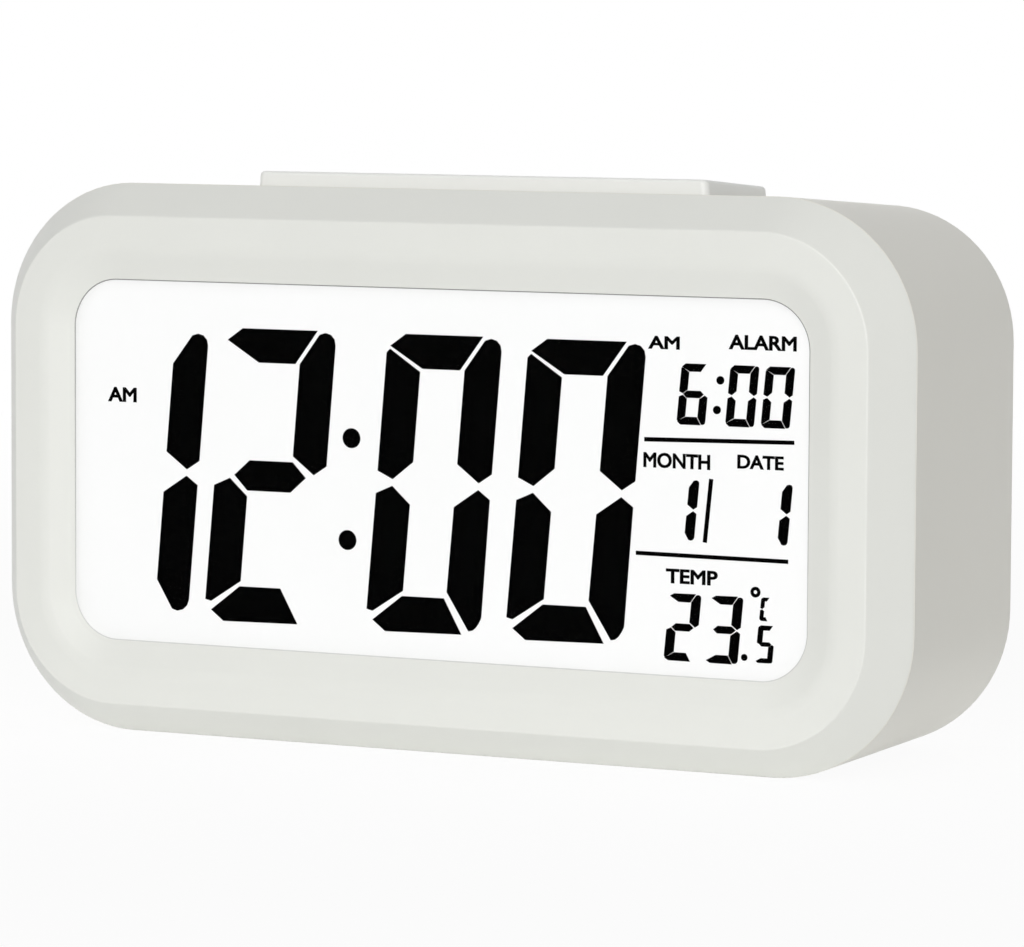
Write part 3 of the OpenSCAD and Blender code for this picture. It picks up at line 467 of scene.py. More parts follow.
def lettering(word, bold):
    """A word as a solid that lies flat, one unit wide and high, with its lower left corner on the origin.

    It reaches one unit to each side of its plane, and a bold share moves the walls of its letters outwards.
    """
    curve = bpy.data.curves.new(word, "FONT")
    curve.body = word
    curve.resolution_u = 4
    curve.extrude = 1
    writer = bpy.data.objects.new(word, curve)
    bpy.context.scene.collection.objects.link(writer)
    written = writer.evaluated_get(bpy.context.evaluated_depsgraph_get())
    outline = bpy.data.meshes.new_from_object(written)
    made = bmesh.new()
    made.from_mesh(outline)
    bpy.data.meshes.remove(outline)
    bpy.data.curves.remove(curve)
    bmesh.ops.remove_doubles(made, verts=made.verts[:], dist=letter_weld)
    for letter, part in zip(word, islands(made)):
        if letter == "M":
            upright(part)
    closed(made)
    thickened(made.verts, bold, Vector((0, 0, 1)))
    xs = [v.co.x for v in made.verts]
    ys = [v.co.y for v in made.verts]
    share = (1 / (max(xs) - min(xs)), 1 / (max(ys) - min(ys)), 1)
    bmesh.ops.translate(made, verts=made.verts[:], vec=(-min(xs), -min(ys), 0))
    bmesh.ops.scale(made, verts=made.verts[:], vec=share)
    return made


def add_copy(bm, part):
    """Adds a second mesh to the first."""
    mesh = bpy.data.meshes.new("part")
    part.to_mesh(mesh)
    part.free()
    bm.from_mesh(mesh)
    bpy.data.meshes.remove(mesh)


words = bmesh.new()
stand_up = Matrix.Rotation(math.pi / 2, 4, "X")
half_depth = (figure_high.y - figure_low.y) / 2
for word, left, right, low, high in legends:
    letters = lettering(word, legend_bold)
    size = Matrix.Diagonal(((right - left) * mm, (high - low) * mm, half_depth, 1))
    spot = Matrix.Translation((left * mm, figures_mid.y, mid_z + low * mm))
    bmesh.ops.transform(letters, matrix=spot @ stand_up @ size, verts=letters.verts[:])
    add_copy(words, letters)
piece(words, "display_words", segment_black, "case")

# Display tray and light
# A white moulded tray holds the glass on the board, over a clear light guide with a lamp at each end.
# A film behind the guide throws the light forward, and a rubber strip carries the display's contacts.
frame_plastic = moulded("frame_plastic", (0.82, 0.82, 0.8), 0.5)
guide_clear = moulded("guide_clear", (0.9, 0.93, 0.95), 0.12, grain=2 * mm, Alpha=0.6, IOR=1.49)
sheet_white = moulded("sheet_white", (0.9, 0.9, 0.9), 0.6)
led_yellow = moulded("led_yellow", (0.8, 0.7, 0.25), 0.25)
zebra_rubber = moulded("zebra_rubber", (0.6, 0.28, 0.32), 0.7)
tray_finishes = {
    "lcd_frame": frame_plastic,
    "light_guide": guide_clear,
    "reflector_sheet": sheet_white,
    "backlight_leds": led_yellow,
    "zebra_strip": zebra_rubber,
}
dress(tray_finishes)

# Main board
# Glass-fibre board under a green solder mask, with a chip under a drop of black resin, a crystal,
# two capacitors, a bead that feels the temperature, and the switch below the snooze bar.
streak_w = 0.4 * mm
streak_squeeze = 0.12
streak_gloss = 0.2
streak_depth = 0.005 * mm
track_w = 1.1 * mm
track_bare = 0.6
track_rise = 0.03 * mm


def metal(name, colour, roughness):
    """A plated or drawn metal, with the faint streaks of its making along X."""
    material, shader, place = finish(name, {"Metallic": 1})
    stretch = {"Vector": place, "Scale": (streak_squeeze, 1, 1)}
    streak = place.node("ShaderNodeMapping", None, stretch).noise(streak_w, detail=3)
    streak.blend(shade(colour, 0.9), shade(colour, 1.05)).feed(shader, "Base Color")
    (streak * streak_gloss + (roughness - streak_gloss / 2)).feed(shader, "Roughness")
    bump = {"Height": streak, "Strength": 0.3, "Distance": streak_depth}
    place.node("ShaderNodeBump", None, bump).feed(shader, "Normal")
    return material


def circuit(name, mask, copper):
    """Solder mask with copper tracks that show through it as paler lines."""
    material, shader, place = finish(name, {"Coat Weight": 0.2})
    bands = {"Vector": place, "Scale": 1 / track_w, "Distortion": 3, "Detail": 1}
    wave = place.node("ShaderNodeTexWave", {"bands_direction": "Z"}, bands, out=1)
    lines = wave.math("GREATER_THAN", wave, track_bare)
    lines.blend(shade(mask, 1), shade(copper, 1)).feed(shader, "Base Color")
    (lines * 0.1 + 0.35).feed(shader, "Roughness")
    bump = {"Height": lines, "Strength": 0.4, "Distance": track_rise}
    place.node("ShaderNodeBump", None, bump).feed(shader, "Normal")
    return material


board_green = circuit("board_green", (0.012, 0.1, 0.035), (0.04, 0.2, 0.07))
resin_black = moulded("resin_black", (0.008, 0.008, 0.01), 0.22, grain=1.5 * mm)
can_metal = metal("can_metal", (0.72, 0.72, 0.72), 0.3)
capacitor_sleeve = moulded("capacitor_sleeve", (0.015, 0.025, 0.12), 0.3)
bead_green = moulded("bead_green", (0.01, 0.07, 0.02), 0.25)
switch_black = moulded("switch_black", (0.012, 0.012, 0.013), 0.5)
board_finishes = {
    "main_board": board_green,
    "chip_cap": resin_black,
    "crystal_can": can_metal,
    "capacitors": capacitor_sleeve,
    "thermistor": bead_green,
    "snooze_switch": switch_black,
}
dress(board_finishes)

# Rear shell
# The deep white ABS half of the case: it draws in and its top drops a little towards the rear wall.
# Four wells for the case screws, the battery space, the key holes and the sounder's slots are moulded in.
rear_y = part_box("rear_shell")[1].y
rear_d = rear_y - front_y
inner_back = rear_d - wall
side_taper = 2 * mm
top_taper = 2.2 * mm
rear_low_r = 19.2 * mm
rear_top_r = 18 * mm
rear_round = 1.2 * mm
slide_gap = 0.3 * mm
mouth = 0.25 * mm
# How far a solid runs into the wall that it joins, how far a cutter runs past the face that it opens,
# and the gap that keeps two faces from coinciding
sink = 0.5 * mm
past = 1 * mm
hair = 0.01 * mm


def drawn_out(bm, face, reach):
    """Draws a face out along a vector and gives its far face. A block's end opens into its new part."""
    of_block = all(len(edge.link_faces) > 1 for edge in face.edges)
    made = bmesh.ops.extrude_face_region(bm, geom=[face])["geom"]
    far = next(item for item in made if isinstance(item, bmesh.types.BMFace))
    bmesh.ops.translate(bm, verts=far.verts[:], vec=reach)
    if of_block:
        bmesh.ops.delete(bm, geom=[face], context="FACES_ONLY")
    return far


def softened(bm, edges, reach, segments=4):
    """Rounds these edges over this reach."""
    bmesh.ops.bevel(bm, geom=edges, offset=reach, affect="EDGES", segments=segments, **round_bevel)


def plate(bm, w, h, r, x, z, d, steps=8):
    """A flat face at one depth with round corners, or with half-round ends where two corners meet."""
    short = min(w, h)
    if 2 * r < short:
        size = Matrix.Diagonal((w, h, 1, 1))
        verts = bmesh.ops.create_grid(bm, x_segments=1, y_segments=1, size=0.5, matrix=size)["verts"]
    else:
        half_step = Matrix.Rotation(math.pi / 4 / steps, 4, "Z")
        disc = {"cap_ends": True, "radius": short / 2, "segments": 4 * steps, "matrix": half_step}
        verts = bmesh.ops.create_circle(bm, **disc)["verts"]
        for vert in verts:
            vert.co.x += math.copysign((w - short) / 2, vert.co.x)
            vert.co.y += math.copysign((h - short) / 2, vert.co.y)
    if 0 < 2 * r < short:
        way = {"affect": "VERTICES", "segments": steps, **round_bevel}
        verts = bmesh.ops.bevel(bm, geom=verts, offset=r, **way)["verts"]
    bmesh.ops.transform(bm, matrix=Matrix.Translation((x, front_y + d, z)) @ stand_up, verts=verts)
    return verts[0].link_faces[0]


def block(bm, w, h, r, x, z, start, end, soft=0):
    """A block with round corners between two depths, its rear edge rounded over a soft reach."""
    far = drawn_out(bm, plate(bm, w, h, r, x, z, start), (0, end - start, 0))
    if soft:
        softened(bm, far.edges[:], soft)
    return far


def spread(bm, face, middle, share_x, share_z):
    """Changes the width and height of a face that lies square to the depth, about a middle."""
    size = Matrix.Diagonal((share_x, 1, share_z, 1))
    about = Matrix.Translation(middle) @ size @ Matrix.Translation(-middle)
    bmesh.ops.transform(bm, matrix=about, verts=face.verts[:])


def opening(bm, w, h, r, x, z, start, surface=rear_d):
    """A cutter for a hole in a wall, whose mouth flares at the surface."""
    lip = drawn_out(bm, block(bm, w, h, r, x, z, start, surface - mouth), (0, mouth, 0))
    spread(bm, lip, Vector((x, 0, z)), 1 + 2 * mouth / w, 1 + 2 * mouth / h)
    drawn_out(bm, lip, (0, past, 0))


def round_opening(bm, r, x, z, start):
    """The same for a round hole in the rear wall."""
    out = rear_d + past
    lip = r + mouth
    turned(bm, [(0, start), (r, start), (r, rear_d - mouth), (lip, rear_d), (lip, out), (0, out)], x, z)


def post(bm, r, x, z, start, end):
    """A plain round post along the depth."""
    turned(bm, [(0, start), (r, start), (r, end), (0, end)], x, z)


def redrawn(face, side, foot, top, low_r, top_r):
    """Draws a case outline in from its sides, its foot and its top, and gives its corners new radii."""
    for vert in face.verts:
        upper = vert.co.z > mid_z
        r = top_r if upper else low_r
        old_z = case_h - corner_r if upper else corner_r
        new_z = case_h - top - r if upper else foot + r
        old = Vector((math.copysign(case_w / 2 - corner_r, vert.co.x), vert.co.y, old_z))
        new = Vector((math.copysign(case_w / 2 - side - r, vert.co.x), vert.co.y, new_z))
        vert.co = new + (vert.co - old) * r / corner_r


shell = bmesh.new()
shell_start = chamfer_d + hair
front = plate(shell, case_w, case_h, corner_r, 0, mid_z, shell_start, steps=corner_steps)
rim = drawn_out(shell, front, (0, soft_edge, 0))
rim_r = corner_r - soft_edge
redrawn(front, soft_edge, soft_edge, soft_edge, rim_r, rim_r)
back = drawn_out(shell, rim, (0, rear_d - shell_start - soft_edge, 0))
redrawn(back, side_taper, 0, top_taper, rear_low_r, rear_top_r)
softened(shell, back.edges[:], rear_round, segments=5)
bmesh.ops.delete(shell, geom=[front], context="FACES_ONLY")
bmesh.ops.recalc_face_normals(shell, faces=shell.faces[:])
bmesh.ops.solidify(shell, geom=shell.faces[:], thickness=wall)
# The drawn-in walls are slightly bent, and only flat faces cut cleanly
bmesh.ops.triangulate(shell, faces=shell.faces[:])

well_r = 3 * mm
well_seat = case_boss_end + 4 * mm
shank_hole_r = 1.3 * mm
key_names = ["mode", "set", "up", "down", "alarm"]
key_boxes = {name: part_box("button_" + name) for name in key_names}
key_places = {name: (low + high) / 2 for name, (low, high) in key_boxes.items()}
key_z = key_places["up"].z
key_w = 9 * mm
key_h = 5 * mm
key_board_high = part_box("key_board")[1]
key_board_back = key_board_high.y - front_y
key_boss_x = key_board_high.x - 3.5 * mm
key_boss_r = 2.4 * mm
key_bore_l = 6 * mm
disc_low, disc_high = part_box("piezo_disc")
disc_x = (disc_low.x + disc_high.x) / 2
disc_z = (disc_low.z + disc_high.z) / 2
disc_r = (disc_high.x - disc_low.x) / 2
disc_seat = disc_high.y - front_y
disc_fit = 0.1 * mm
disc_ledge = 1.2 * mm
holder_r = disc_r + 1.3 * mm
holder_h = 3.5 * mm
space_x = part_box("contact_positive")[1].x
cell_low, cell_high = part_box("battery_cells")
space_low = cell_low.z - 0.4 * mm
space_top = cell_high.z + 0.4 * mm
space_floor = cell_low.y - front_y - 0.3 * mm
space_wall = 1.6 * mm
door_low, door_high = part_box("battery_door")
door_t = 2.2 * mm
door_front = rear_d - door_t
door_top = door_high.z - 2 * mm
hinge_y = door_low.y + door_t / 2
hinge_z = door_low.z + door_t / 2
ledge_top = door_high.z + slide_gap + 1.6 * mm
notch_w = 16 * mm
notch_h = 5 * mm
notch_d = 1.5 * mm
notch_r = 1 * mm

posts = bmesh.new()
well_places = [(x, mid_z + side * case_boss_z) for x in (-boss_x, boss_x) for side in (-1, 1)]
in_wall = inner_back + sink
for x, z in well_places:
    post(posts, well_r, x, z, case_boss_end, in_wall)
for x in (-key_boss_x, key_boss_x):
    post(posts, key_boss_r, x, key_z, key_board_back, in_wall)
post(posts, holder_r, disc_x, disc_z, disc_seat - holder_h, in_wall)
shell = carved(shell, posts, "UNION")

box_w = 2 * (space_x + space_wall)
box_h = space_top - space_low + 2 * space_wall
space_z = (space_low + space_top) / 2
ledge_z = (space_top + ledge_top) / 2
battery_box = bmesh.new()
block(battery_box, box_w, box_h, 0, 0, space_z, space_floor - space_wall, in_wall)
ledge = bmesh.new()
block(ledge, box_w, ledge_top - space_top, 0, 0, ledge_z, door_front - space_wall, in_wall)
shell = carved(shell, carved(battery_box, ledge, "UNION"), "UNION")

holes = bmesh.new()
for x, z in well_places:
    round_opening(holes, case_head_r + slide_gap, x, z, well_seat)
    post(holes, shank_hole_r, x, z, case_boss_end - past, well_seat + sink)
for x in (-key_boss_x, key_boss_x):
    post(holes, board_bore_r, x, key_z, key_board_back - past, key_board_back + key_bore_l)
post(holes, disc_r + disc_fit, disc_x, disc_z, disc_seat - holder_h - past, disc_seat)
post(holes, disc_r - disc_ledge, disc_x, disc_z, disc_seat - past, inner_back)
key_hole_r = key_h / 2 + slide_gap
key_hole = (key_w + 2 * slide_gap, 2 * key_hole_r, key_hole_r)
for place in key_places.values():
    opening(holes, *key_hole, place.x, place.z, inner_back - past)
slot_w = 1.6 * mm
slot_pitch = 3.6 * mm
slot_reach = 9 * mm
for i in range(-2, 3):
    length = 2 * math.sqrt(slot_reach**2 - (i * slot_pitch) ** 2)
    opening(holes, slot_w, length, slot_w / 2, disc_x + i * slot_pitch, disc_z, inner_back - past)
seat_top = door_top + slide_gap
opening(holes, 2 * space_x, seat_top - space_low, 0, 0, (space_low + seat_top) / 2, door_front)
opening(holes, notch_w, notch_h, notch_r, 0, door_top + notch_h / 2, rear_d - notch_d)
block(holes, 2 * space_x, space_top - space_low, 0, 0, space_z, space_floor, door_front + sink)
shell = carved(shell, holes, "DIFFERENCE")

pivot_r = 0.7 * mm
pivot_end = space_x + space_wall + past
pivots = bmesh.new()
post(pivots, pivot_r, 0, 0, 0, 2 * pivot_end)
lay = Matrix.Rotation(-math.pi / 2, 4, "Z") @ Matrix.Translation((0, -front_y, 0))
pivot_place = Matrix.Translation((-pivot_end, hinge_y, hinge_z)) @ lay
bmesh.ops.transform(pivots, matrix=pivot_place, verts=pivots.verts[:])
shell = carved(shell, pivots, "DIFFERENCE")

# The snooze bar's slot is drawn flat, as width, depth and height, and then laid on the sloping top
top_slope = top_taper / (rear_d - chamfer_d)
top_start = case_h - front_y + top_slope * (front_y + chamfer_d)
on_top = Matrix(((1, 0, 0, 0), (0, 0, 1, 0), (0, 1, -top_slope, top_start), (0, 0, 0, 1)))
bar_w = 67.6 * mm
bar_d = 19.6 * mm
bar_round = 1 * mm
bar_front = front_y + 15.1 * mm
bar_y = bar_front + bar_d / 2

bar_slot = bmesh.new()
slot_size = (bar_w + 2 * slide_gap, bar_d + 2 * slide_gap, bar_round + slide_gap)
opening(bar_slot, *slot_size, 0, bar_y, -wall - past, surface=0)
bmesh.ops.transform(bar_slot, matrix=on_top, verts=bar_slot.verts[:])
shell = carved(shell, bar_slot, "DIFFERENCE")

cell_count = 3
rib_t = 1 * mm
rib_h = 2.2 * mm
rib_round = 0.3 * mm
rib_inset = 0.2 * mm
rib_sink = 0.2 * mm
rib_pitch = (space_top - space_low - 2 * rib_inset) / cell_count
ribs = bmesh.new()
for i in range(1, cell_count):
    rib_z = space_low + rib_inset + i * rib_pitch
    block(ribs, space_x, rib_t, 0, 0, rib_z, space_floor - rib_sink, space_floor + rib_h, soft=rib_round)
shell = carved(shell, ribs, "UNION")
# The rear shell's white ABS, also used for the battery door, is painted darker and warmer than the ring's
# to match the shade on the case's sides: painted shade.
rear_plastic_painted_shade = moulded("rear_plastic_painted_shade", (0.85, 0.84, 0.775), 0.42, IOR=1.53)
piece(shell, "rear_case", rear_plastic_painted_shade, "case", ["rear_shell"])

# Snooze bar
# A hollow white ABS cap through the top wall. A flange below the wall keeps it in,
# and an arm in front of it reaches down to the switch on the main board.
bar_proud = 2.2 * mm
bar_edge = 0.55 * mm
bar_draft = 0.2 * mm
bar_fall = 0.35 * mm
bar_skin = 1.5 * mm
hollow_r = 0.3 * mm
hollow_reach = 6 * mm
flange_over = 1.6 * mm
flange_t = 1.2 * mm
flange_top = -wall - slide_gap
flange_low = flange_top - flange_t
flange_d = bar_d + 2 * flange_over
arm_w = 8 * mm
arm_h = 1.8 * mm
arm_front = board_back + 0.5 * mm
arm_back = 17 * mm
arm_y = front_y + (arm_front + arm_back) / 2
tip_w = 4 * mm
tip_d = 2.2 * mm
tip_top = flange_top - 0.9 * mm
tip_low = flange_top - 4.8 * mm
tip_y = front_y + board_back + 1.75 * mm
bar = bmesh.new()
base = block(bar, bar_w, bar_d, bar_round, 0, bar_y, flange_low, 0)
top = drawn_out(bar, base, (0, bar_proud, 0))
spread(bar, top, Vector(), 1 - 2 * bar_draft / bar_w, 1)
for vert in top.verts:
    vert.co.y -= bar_fall * (vert.co.z - bar_front) / bar_d
softened(bar, top.edges[:], bar_edge)
# The flange, the arm and its tip, each with its width, its depth, its middle, its foot and its top
for w, d, y, low, high in [
    (bar_w + 2 * flange_over, flange_d, bar_y, flange_low + hair / 2, flange_top),
    (arm_w, arm_back - arm_front, arm_y, flange_top - arm_h, flange_top - hair),
    (tip_w, tip_d, tip_y, tip_low, tip_top),
]:
    below = bmesh.new()
    block(below, w, d, 0, 0, y, low, high)
    bar = carved(bar, below, "UNION")
hollow = bmesh.new()
hollow_size = (bar_w - 2 * bar_skin, bar_d - 2 * bar_skin, hollow_r)
block(hollow, *hollow_size, 0, bar_y, flange_low - hollow_reach, bar_proud - bar_skin)
bar = carved(bar, hollow, "DIFFERENCE")
bmesh.ops.transform(bar, matrix=on_top, verts=bar.verts[:])
closed(bar)
# The cap's white ABS is painted lighter than the ring's, to make up for the shade the case top casts on its
# front: painted light.
bar_plastic_painted_light = moulded("bar_plastic_painted_light", (0.93, 0.935, 0.91), 0.42, IOR=1.53)
piece(bar, "snooze_cap", bar_plastic_painted_light, "snooze_bar", ["snooze_bar"])

# Rear keys
# Five crowned caps of slightly greyer ABS, each with a flange behind the wall and a post to its switch.
# Their switches stand on a small board of their own, and a flat cable runs from it to the main board.
key_plastic = moulded("key_plastic", (0.77, 0.765, 0.715), 0.38, IOR=1.53)
key_proud = 0.6 * mm
key_edge = 0.35 * mm
key_stem_r = 1.5 * mm
key_stem_sink = 0.3 * mm
key_flange_over = 1 * mm
key_flange_w = key_w + 2 * key_flange_over
key_flange_h = key_h + 2 * key_flange_over
key_flange = (key_flange_w, key_flange_h, key_flange_h / 2)
key_flange_back = inner_back - slide_gap
key_flange_front = key_flange_back - flange_t
# The crown's steps: how far each face shrinks, and its share of the rise
crown_steps = ((0.85, 0.3), (0.7, 0.4), (0.5, 0.3))
for name, place in key_places.items():
    key_low, key_high = key_boxes[name]
    spot = (place.x, place.z)
    key = bmesh.new()
    block(key, key_w, key_h, key_h / 2, *spot, key_flange_front, rear_d + key_proud, soft=key_edge)
    closed(key)
    crown = max(key.faces, key=lambda f: f.calc_center_median().y)
    crown_rise = key_high.y - rear_y - key_proud
    for shrink, share in crown_steps:
        crown = drawn_out(key, crown, (0, crown_rise * share, 0))
        spread(key, crown, place, shrink, shrink)
    flange = bmesh.new()
    block(flange, *key_flange, *spot, key_flange_front - hair, key_flange_back)
    stem = bmesh.new()
    post(stem, key_stem_r, *spot, key_low.y - front_y, key_flange_front + key_stem_sink)
    key = carved(carved(key, flange, "UNION"), stem, "UNION")
    piece(key, "key_" + name, key_plastic, "button_" + name, ["button_" + name])

ribbon_grey = moulded("ribbon_grey", (0.45, 0.45, 0.43), 0.45)
dress({"key_board": board_green, "key_switches": switch_black, "key_ribbon": ribbon_grey})

# Cells and contacts
# Three AAA cells in a row, every second one turned round: drawn steel cans in a plain dark sleeve.
# Nickel-plated springs and dimpled plates hold them, and two leads run from the outer plates to the board.
cell_sleeve = moulded("cell_sleeve", (0.05, 0.065, 0.075), 0.3, grain=1 * mm)
cell_band = metal("cell_band", (0.55, 0.56, 0.57), 0.32)
nickel_plate = metal("nickel_plate", (0.68, 0.66, 0.61), 0.28)
cell_pitch = 10.9 * mm
cell_d = 10.5 * mm
cell_r = cell_d / 2
cell_l = 44.5 * mm
nub_l = 1.2 * mm
nub_r = 1.9 * mm
nub_round = 0.3 * mm
band_l = 9 * mm
can_end = cell_l - nub_l
band_start = can_end - band_l
rim_d = 0.2 * mm
shoulder_r = 5.1 * mm
shoulder_d = 0.15 * mm
shoulder_l = 0.5 * mm
bare_r = 4.9 * mm
cell_outline = [
    (0, rim_d),
    (3.6 * mm, rim_d),
    (3.9 * mm, 0),
    (4.7 * mm, 0),
    (shoulder_r, shoulder_d),
    (cell_r, shoulder_l),
    (cell_r, band_start),
    (cell_r, can_end - shoulder_l),
    (shoulder_r, can_end - shoulder_d),
    (4.6 * mm, can_end),
    (4.3 * mm, can_end - rim_d),
    (nub_r + rim_d, can_end - rim_d),
    (nub_r, can_end),
    (nub_r, cell_l - nub_round),
    (nub_r - nub_round, cell_l),
    (0, cell_l),
]
contact_gap = 0.9 * mm
cell_y = (cell_low.y + cell_high.y) / 2
# Every cell's direction along X and its height
cell_rows = [((-1) ** i, cell_low.z + cell_r + i * cell_pitch) for i in range(cell_count)]
sleeve_face, band_face, bare_face = range(3)
cells = bmesh.new()
for way, z in cell_rows:
    cell = bmesh.new()
    turned(cell, cell_outline, steps=48)
    closed(cell)
    for face in cell.faces:
        middle = face.calc_center_median() - Vector((0, front_y, 0))
        if math.hypot(middle.x, middle.z) < bare_r:
            face.material_index = bare_face
        elif middle.y > band_start:
            face.material_index = band_face
        else:
            face.material_index = sleeve_face
    turn = Matrix.Rotation(-way * math.pi / 2, 4, "Z") @ Matrix.Translation((0, -front_y, 0))
    spot = Matrix.Translation((way * (space_x - contact_gap - cell_l), cell_y, z))
    bmesh.ops.transform(cell, matrix=spot @ turn, verts=cell.verts[:])
    add_copy(cells, cell)
cells_made = piece(cells, "cells", cell_sleeve, "case", ["battery_cells"])
cells_made.data.materials.append(cell_band)
cells_made.data.materials.append(nickel_plate)

lead_red = moulded("lead_red", (0.45, 0.008, 0.006), 0.4)
lead_black = moulded("lead_black", (0.008, 0.008, 0.008), 0.4)
contact_finishes = {
    "contact_negative": nickel_plate,
    "contact_positive": nickel_plate,
    "contact_link_left": nickel_plate,
    "contact_link_right": nickel_plate,
    "battery_lead_red": lead_red,
    "battery_lead_black": lead_black,
}
dress(contact_finishes)

# Battery door
# A white ABS plate, flush with the rear wall, that turns on two pins in its round lower edge.
# A springy tongue between two slots at its top, with ridges for the finger, keeps it shut,
# and raised signs on its inner face show which way round each cell goes.
door_w = 2 * (space_x - slide_gap)
door_edge = 0.25 * mm
latch_w = 12 * mm
latch_slot = 0.8 * mm
latch_slot_r = 0.3 * mm
latch_l = 7 * mm
latch_t = 1.2 * mm
latch_lip_w = latch_w - latch_slot
latch_lip_low = door_top - 1 * mm
slit_low = door_top - latch_l
slit_top = door_high.z + past
pin_r = 0.6 * mm
pin_l = 1.3 * mm
ridge_r = 0.6 * mm
ridge_w = 8 * mm
ridge_pitch = 1.8 * mm
ridge_rise = 0.35 * mm
rod_edge = 0.15 * mm
sign_w = 3.2 * mm
sign_t = 0.8 * mm
sign_rise = 0.25 * mm
sign_sink = 0.1 * mm
sign_x = space_x - 7 * mm


def lies_at(edge, axis, value):
    """Whether both ends of an edge have this value on an axis."""
    return all(abs(getattr(vert.co, axis) - value) < hair for vert in edge.verts)


def is_rear_rim(edge):
    """Whether an edge lies on the rim of the door's rear face, above its hinge."""
    above = all(vert.co.z > hinge_z for vert in edge.verts)
    return above and lies_at(edge, "y", rear_y) and edge.calc_face_angle(0) > math.radians(60)


door = bmesh.new()
door_z = (door_low.z + door_top) / 2
block(door, door_w, door_top - door_low.z, 0, 0, door_z, door_front, rear_d)
lower = [edge for edge in door.edges if lies_at(edge, "z", door_low.z) and edge.calc_length() > door_t * 2]
softened(door, lower, door_t / 2 - hair, segments=6)
softened(door, [edge for edge in door.edges if is_rear_rim(edge)], door_edge, segments=3)
latch_lip = bmesh.new()
lip_z = (latch_lip_low + door_high.z) / 2
far = block(latch_lip, latch_lip_w, door_high.z - latch_lip_low, 0, 0, lip_z, rear_d - latch_t, rear_d)
softened(latch_lip, far.edges[:], door_edge, segments=3)
door = carved(door, latch_lip, "UNION")
slits = bmesh.new()
slit_z = (slit_low + slit_top) / 2
slit_size = (latch_slot, slit_top - slit_low, latch_slot_r)
for x in (-latch_w / 2, latch_w / 2):
    block(slits, *slit_size, x, slit_z, door_front - past, rear_d + past)
door = carved(door, slits, "DIFFERENCE")
ridge_y = rear_y + ridge_rise - ridge_r
ridges = [(ridge_r, ridge_w, ridge_y, door_top - i * ridge_pitch) for i in (1, 2, 3)]
rods = bmesh.new()
for r, length, y, z in [(pin_r, door_w + 2 * pin_l, hinge_y, hinge_z)] + ridges:
    rod = bmesh.new()
    ends = [(r - rod_edge, 0), (r, rod_edge), (r, length - rod_edge), (r - rod_edge, length)]
    turned(rod, [(0, 0)] + ends + [(0, length)])
    bmesh.ops.transform(rod, matrix=Matrix.Translation((-length / 2, y, z)) @ lay, verts=rod.verts[:])
    add_copy(rods, rod)
door = carved(door, rods, "UNION")
signs = bmesh.new()
for way, z in cell_rows:
    plus_x = way * sign_x
    for x, w, h in [(plus_x, sign_w, sign_t), (plus_x, sign_t, sign_w), (-plus_x, sign_w, sign_t)]:
        block(signs, w, h, 0, x, z, door_front - sign_rise, door_front + sign_sink)
door = carved(door, signs, "UNION")
piece(door, "battery_lid", rear_plastic_painted_shade, "battery_door", ["battery_door"])

# Sounder
# A thin brass disc that carries a ceramic layer, seated in a ring behind the slots,
# with two leads soldered to it.
brass_disc = metal("brass_disc", (0.72, 0.5, 0.18), 0.35)
dress({"piezo_disc": brass_disc, "buzzer_leads": lead_red})

# Screws
# Plated steel with cross slots: four hold the case halves together from the wells in the rear,
# and smaller ones hold the two boards.
screw_steel = metal("screw_steel", (0.5, 0.5, 0.52), 0.32)
dress({"case_screws": screw_steel, "board_screws": screw_steel, "key_board_screws": screw_steel})

# Key words
# The names of the keys, printed above them on the rear wall in dark grey ink.
ink_grey = moulded("ink_grey", (0.07, 0.07, 0.072), 0.6)
word_bold = 0.012
word_h = 1.8 * mm
word_rise = 0.03 * mm
word_z = key_z + key_h / 2 + 2.2 * mm
word_width = {"mode": 5.6 * mm, "set": 4 * mm, "up": 2.7 * mm, "down": 6 * mm, "alarm": 7 * mm}
face_rear = Matrix.Rotation(math.pi, 4, "Z") @ stand_up
key_words = bmesh.new()
for name, place in key_places.items():
    letters = lettering(name.upper(), word_bold)
    size = Matrix.Diagonal((word_width[name], word_h, word_rise, 1))
    spot = Matrix.Translation((place.x + word_width[name] / 2, rear_y, word_z))
    bmesh.ops.transform(letters, matrix=spot @ face_rear @ size, verts=letters.verts[:])
    add_copy(key_words, letters)
piece(key_words, "key_words", ink_grey, "case")

# Floor, light and camera
# A white sheet under the clock, which glows in a pool of painted light around the clock's foot, and soft
# light from the camera's side, as in a small product studio.
# The camera stands to the right of the front and a little above it, with a long lens.
floor_size = 40
floor_drop = 0.02 * mm
floor_mesh = bmesh.new()
bmesh.ops.create_grid(floor_mesh, x_segments=1, y_segments=1, size=floor_size / 2)
bmesh.ops.translate(floor_mesh, verts=floor_mesh.verts[:], vec=(0, 0, -floor_drop))
floor_data = bpy.data.meshes.new("floor")
floor_mesh.to_mesh(floor_data)
floor_mesh.free()
floor = bpy.data.objects.new("floor", floor_data)
bpy.context.scene.collection.objects.link(floor)


def seen_ray(tree):
    """1 where the eye, a mirror image or a view through glass meets the surface, and 0 for its light."""
    paths = tree.nodes.new("ShaderNodeLightPath")
    camera = Field(paths.outputs["Is Camera Ray"])
    mirror = Field(paths.outputs["Is Glossy Ray"])
    through = Field(paths.outputs["Is Transmission Ray"])
    return camera.math("MAXIMUM", camera, mirror.math("MAXIMUM", mirror, through))


table_light = 0.117
paper, paper_shader, paper_place = finish(
    "paper", {"Base Color": (0.9, 0.9, 0.9, 1), "Roughness": 0.9, "Emission Strength": table_light}
)
paper_tree = paper.node_tree
near_glow = 0.92
fade_start = 0.12
fade_end = 0.6
# The pool: the sheet's own glow, bright near the clock's foot and fading outwards, which lights the clock's
# lower faces from below: painted light.
pool_start = 0.045
pool_end = 0.13
pool_squeeze = 0.5


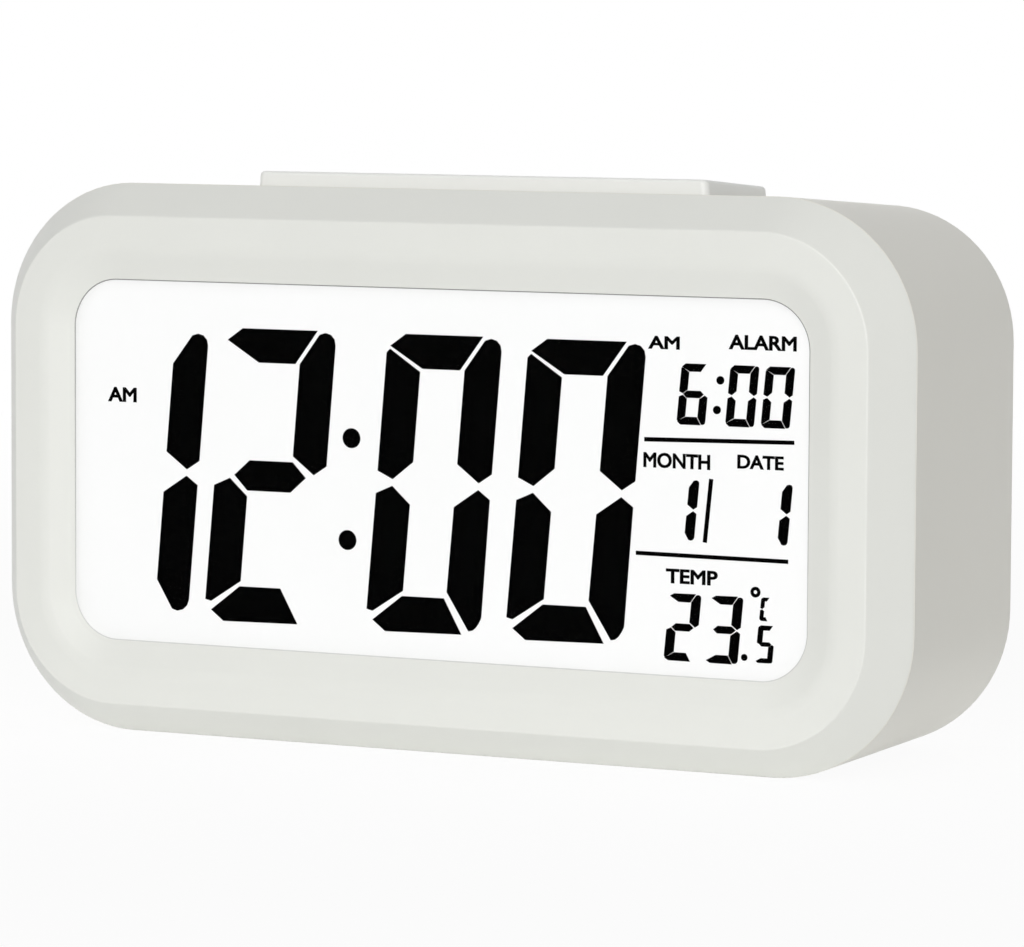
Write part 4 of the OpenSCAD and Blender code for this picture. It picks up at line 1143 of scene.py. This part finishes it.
def distance(place):
    """How far a place lies from the middle of the floor."""
    return place.node("ShaderNodeVectorMath", {"operation": "LENGTH"}, {"Vector": place}, out="Value")


away = distance(paper_place)
fade = {"Value": away, "From Min": fade_start, "From Max": fade_end, "To Min": near_glow, "To Max": 1}
glow_share = away.node("ShaderNodeMapRange", None, fade)
squeezed = {"Vector": paper_place, "Scale": (pool_squeeze, 1, 1)}
off_middle = distance(paper_place.node("ShaderNodeMapping", None, squeezed))
pool = {"Value": off_middle, "From Min": pool_start, "From Max": pool_end}
dim = off_middle.node("ShaderNodeMapRange", None, pool)
dim.blend((1, 1, 1, 1), (0, 0, 0, 1)).feed(paper_shader, "Emission Color")
seen = seen_ray(paper_tree)
glow = seen.node("ShaderNodeEmission", None, {"Color": (1, 1, 1, 1), "Strength": 1})
lit = Field(paper_shader.outputs["BSDF"])
sheet = seen.node("ShaderNodeMixShader", None, {"Fac": seen * glow_share, 1: lit, 2: glow})
sheet.feed(paper_tree.nodes["Material Output"], "Surface")
floor_data.materials.append(paper)

room_light = 0.253
world = bpy.data.worlds.new("studio")
world.use_nodes = True
bpy.context.scene.world = world
world_tree = world.node_tree
world_light = world_tree.nodes["Background"]
world_light.inputs["Color"].default_value = (1, 1, 1, 1)
world_light.inputs["Strength"].default_value = room_light
white_back = seen_ray(world_tree)
backdrop = white_back.node("ShaderNodeBackground", None, {"Color": (1, 1, 1, 1), "Strength": 1})
room = {"Fac": white_back, 1: Field(world_light.outputs["Background"]), 2: backdrop}
white_back.node("ShaderNodeMixShader", None, room).feed(world_tree.nodes["World Output"], "Surface")


def softbox(name, place, size, power, mirrored=True):
    """A rectangular lamp that faces the clock, given by its width and height. Gloss may show it or not."""
    lamp = bpy.data.lights.new(name, "AREA")
    lamp.shape = "RECTANGLE"
    lamp.size, lamp.size_y = size
    lamp.energy = power
    holder = bpy.data.objects.new(name, lamp)
    holder.visible_camera = False
    holder.visible_glossy = mirrored
    holder.location = place
    to_clock = Vector((0, 0, mid_z)) - Vector(place)
    holder.rotation_euler = to_clock.to_track_quat("-Z", "Y").to_euler()
    bpy.context.scene.collection.objects.link(holder)


softbox("right_softbox", (0.62, -1.3, 0.3), (0.9, 0.5), 7.3)
softbox("high_softbox", (0.2, -1.2, 0.9), (0.9, 0.5), 4.4)
softbox("top_softbox", (0, -0.2, 1.4), (1, 1), 1.6)
softbox("rear_softbox", (-0.8, 1.2, 0.22), (0.9, 0.4), 12, mirrored=False)

camera_data = bpy.data.cameras.new("camera")
camera_data.sensor_width = 36
camera_data.lens = 188.2
camera = bpy.data.objects.new("camera", camera_data)
camera.location = (327.51 * mm, -643.95 * mm, 97.67 * mm)
view_line = Vector((-0.4502, 0.8889, -0.0849))
camera_roll = math.radians(0.281)
level_view = view_line.to_track_quat("-Z", "Y").to_matrix()
camera.rotation_euler = (level_view @ Matrix.Rotation(camera_roll, 3, "Z")).to_euler()
bpy.context.scene.collection.objects.link(camera)
bpy.context.scene.camera = camera
bpy.context.scene.view_settings.view_transform = "Standard"
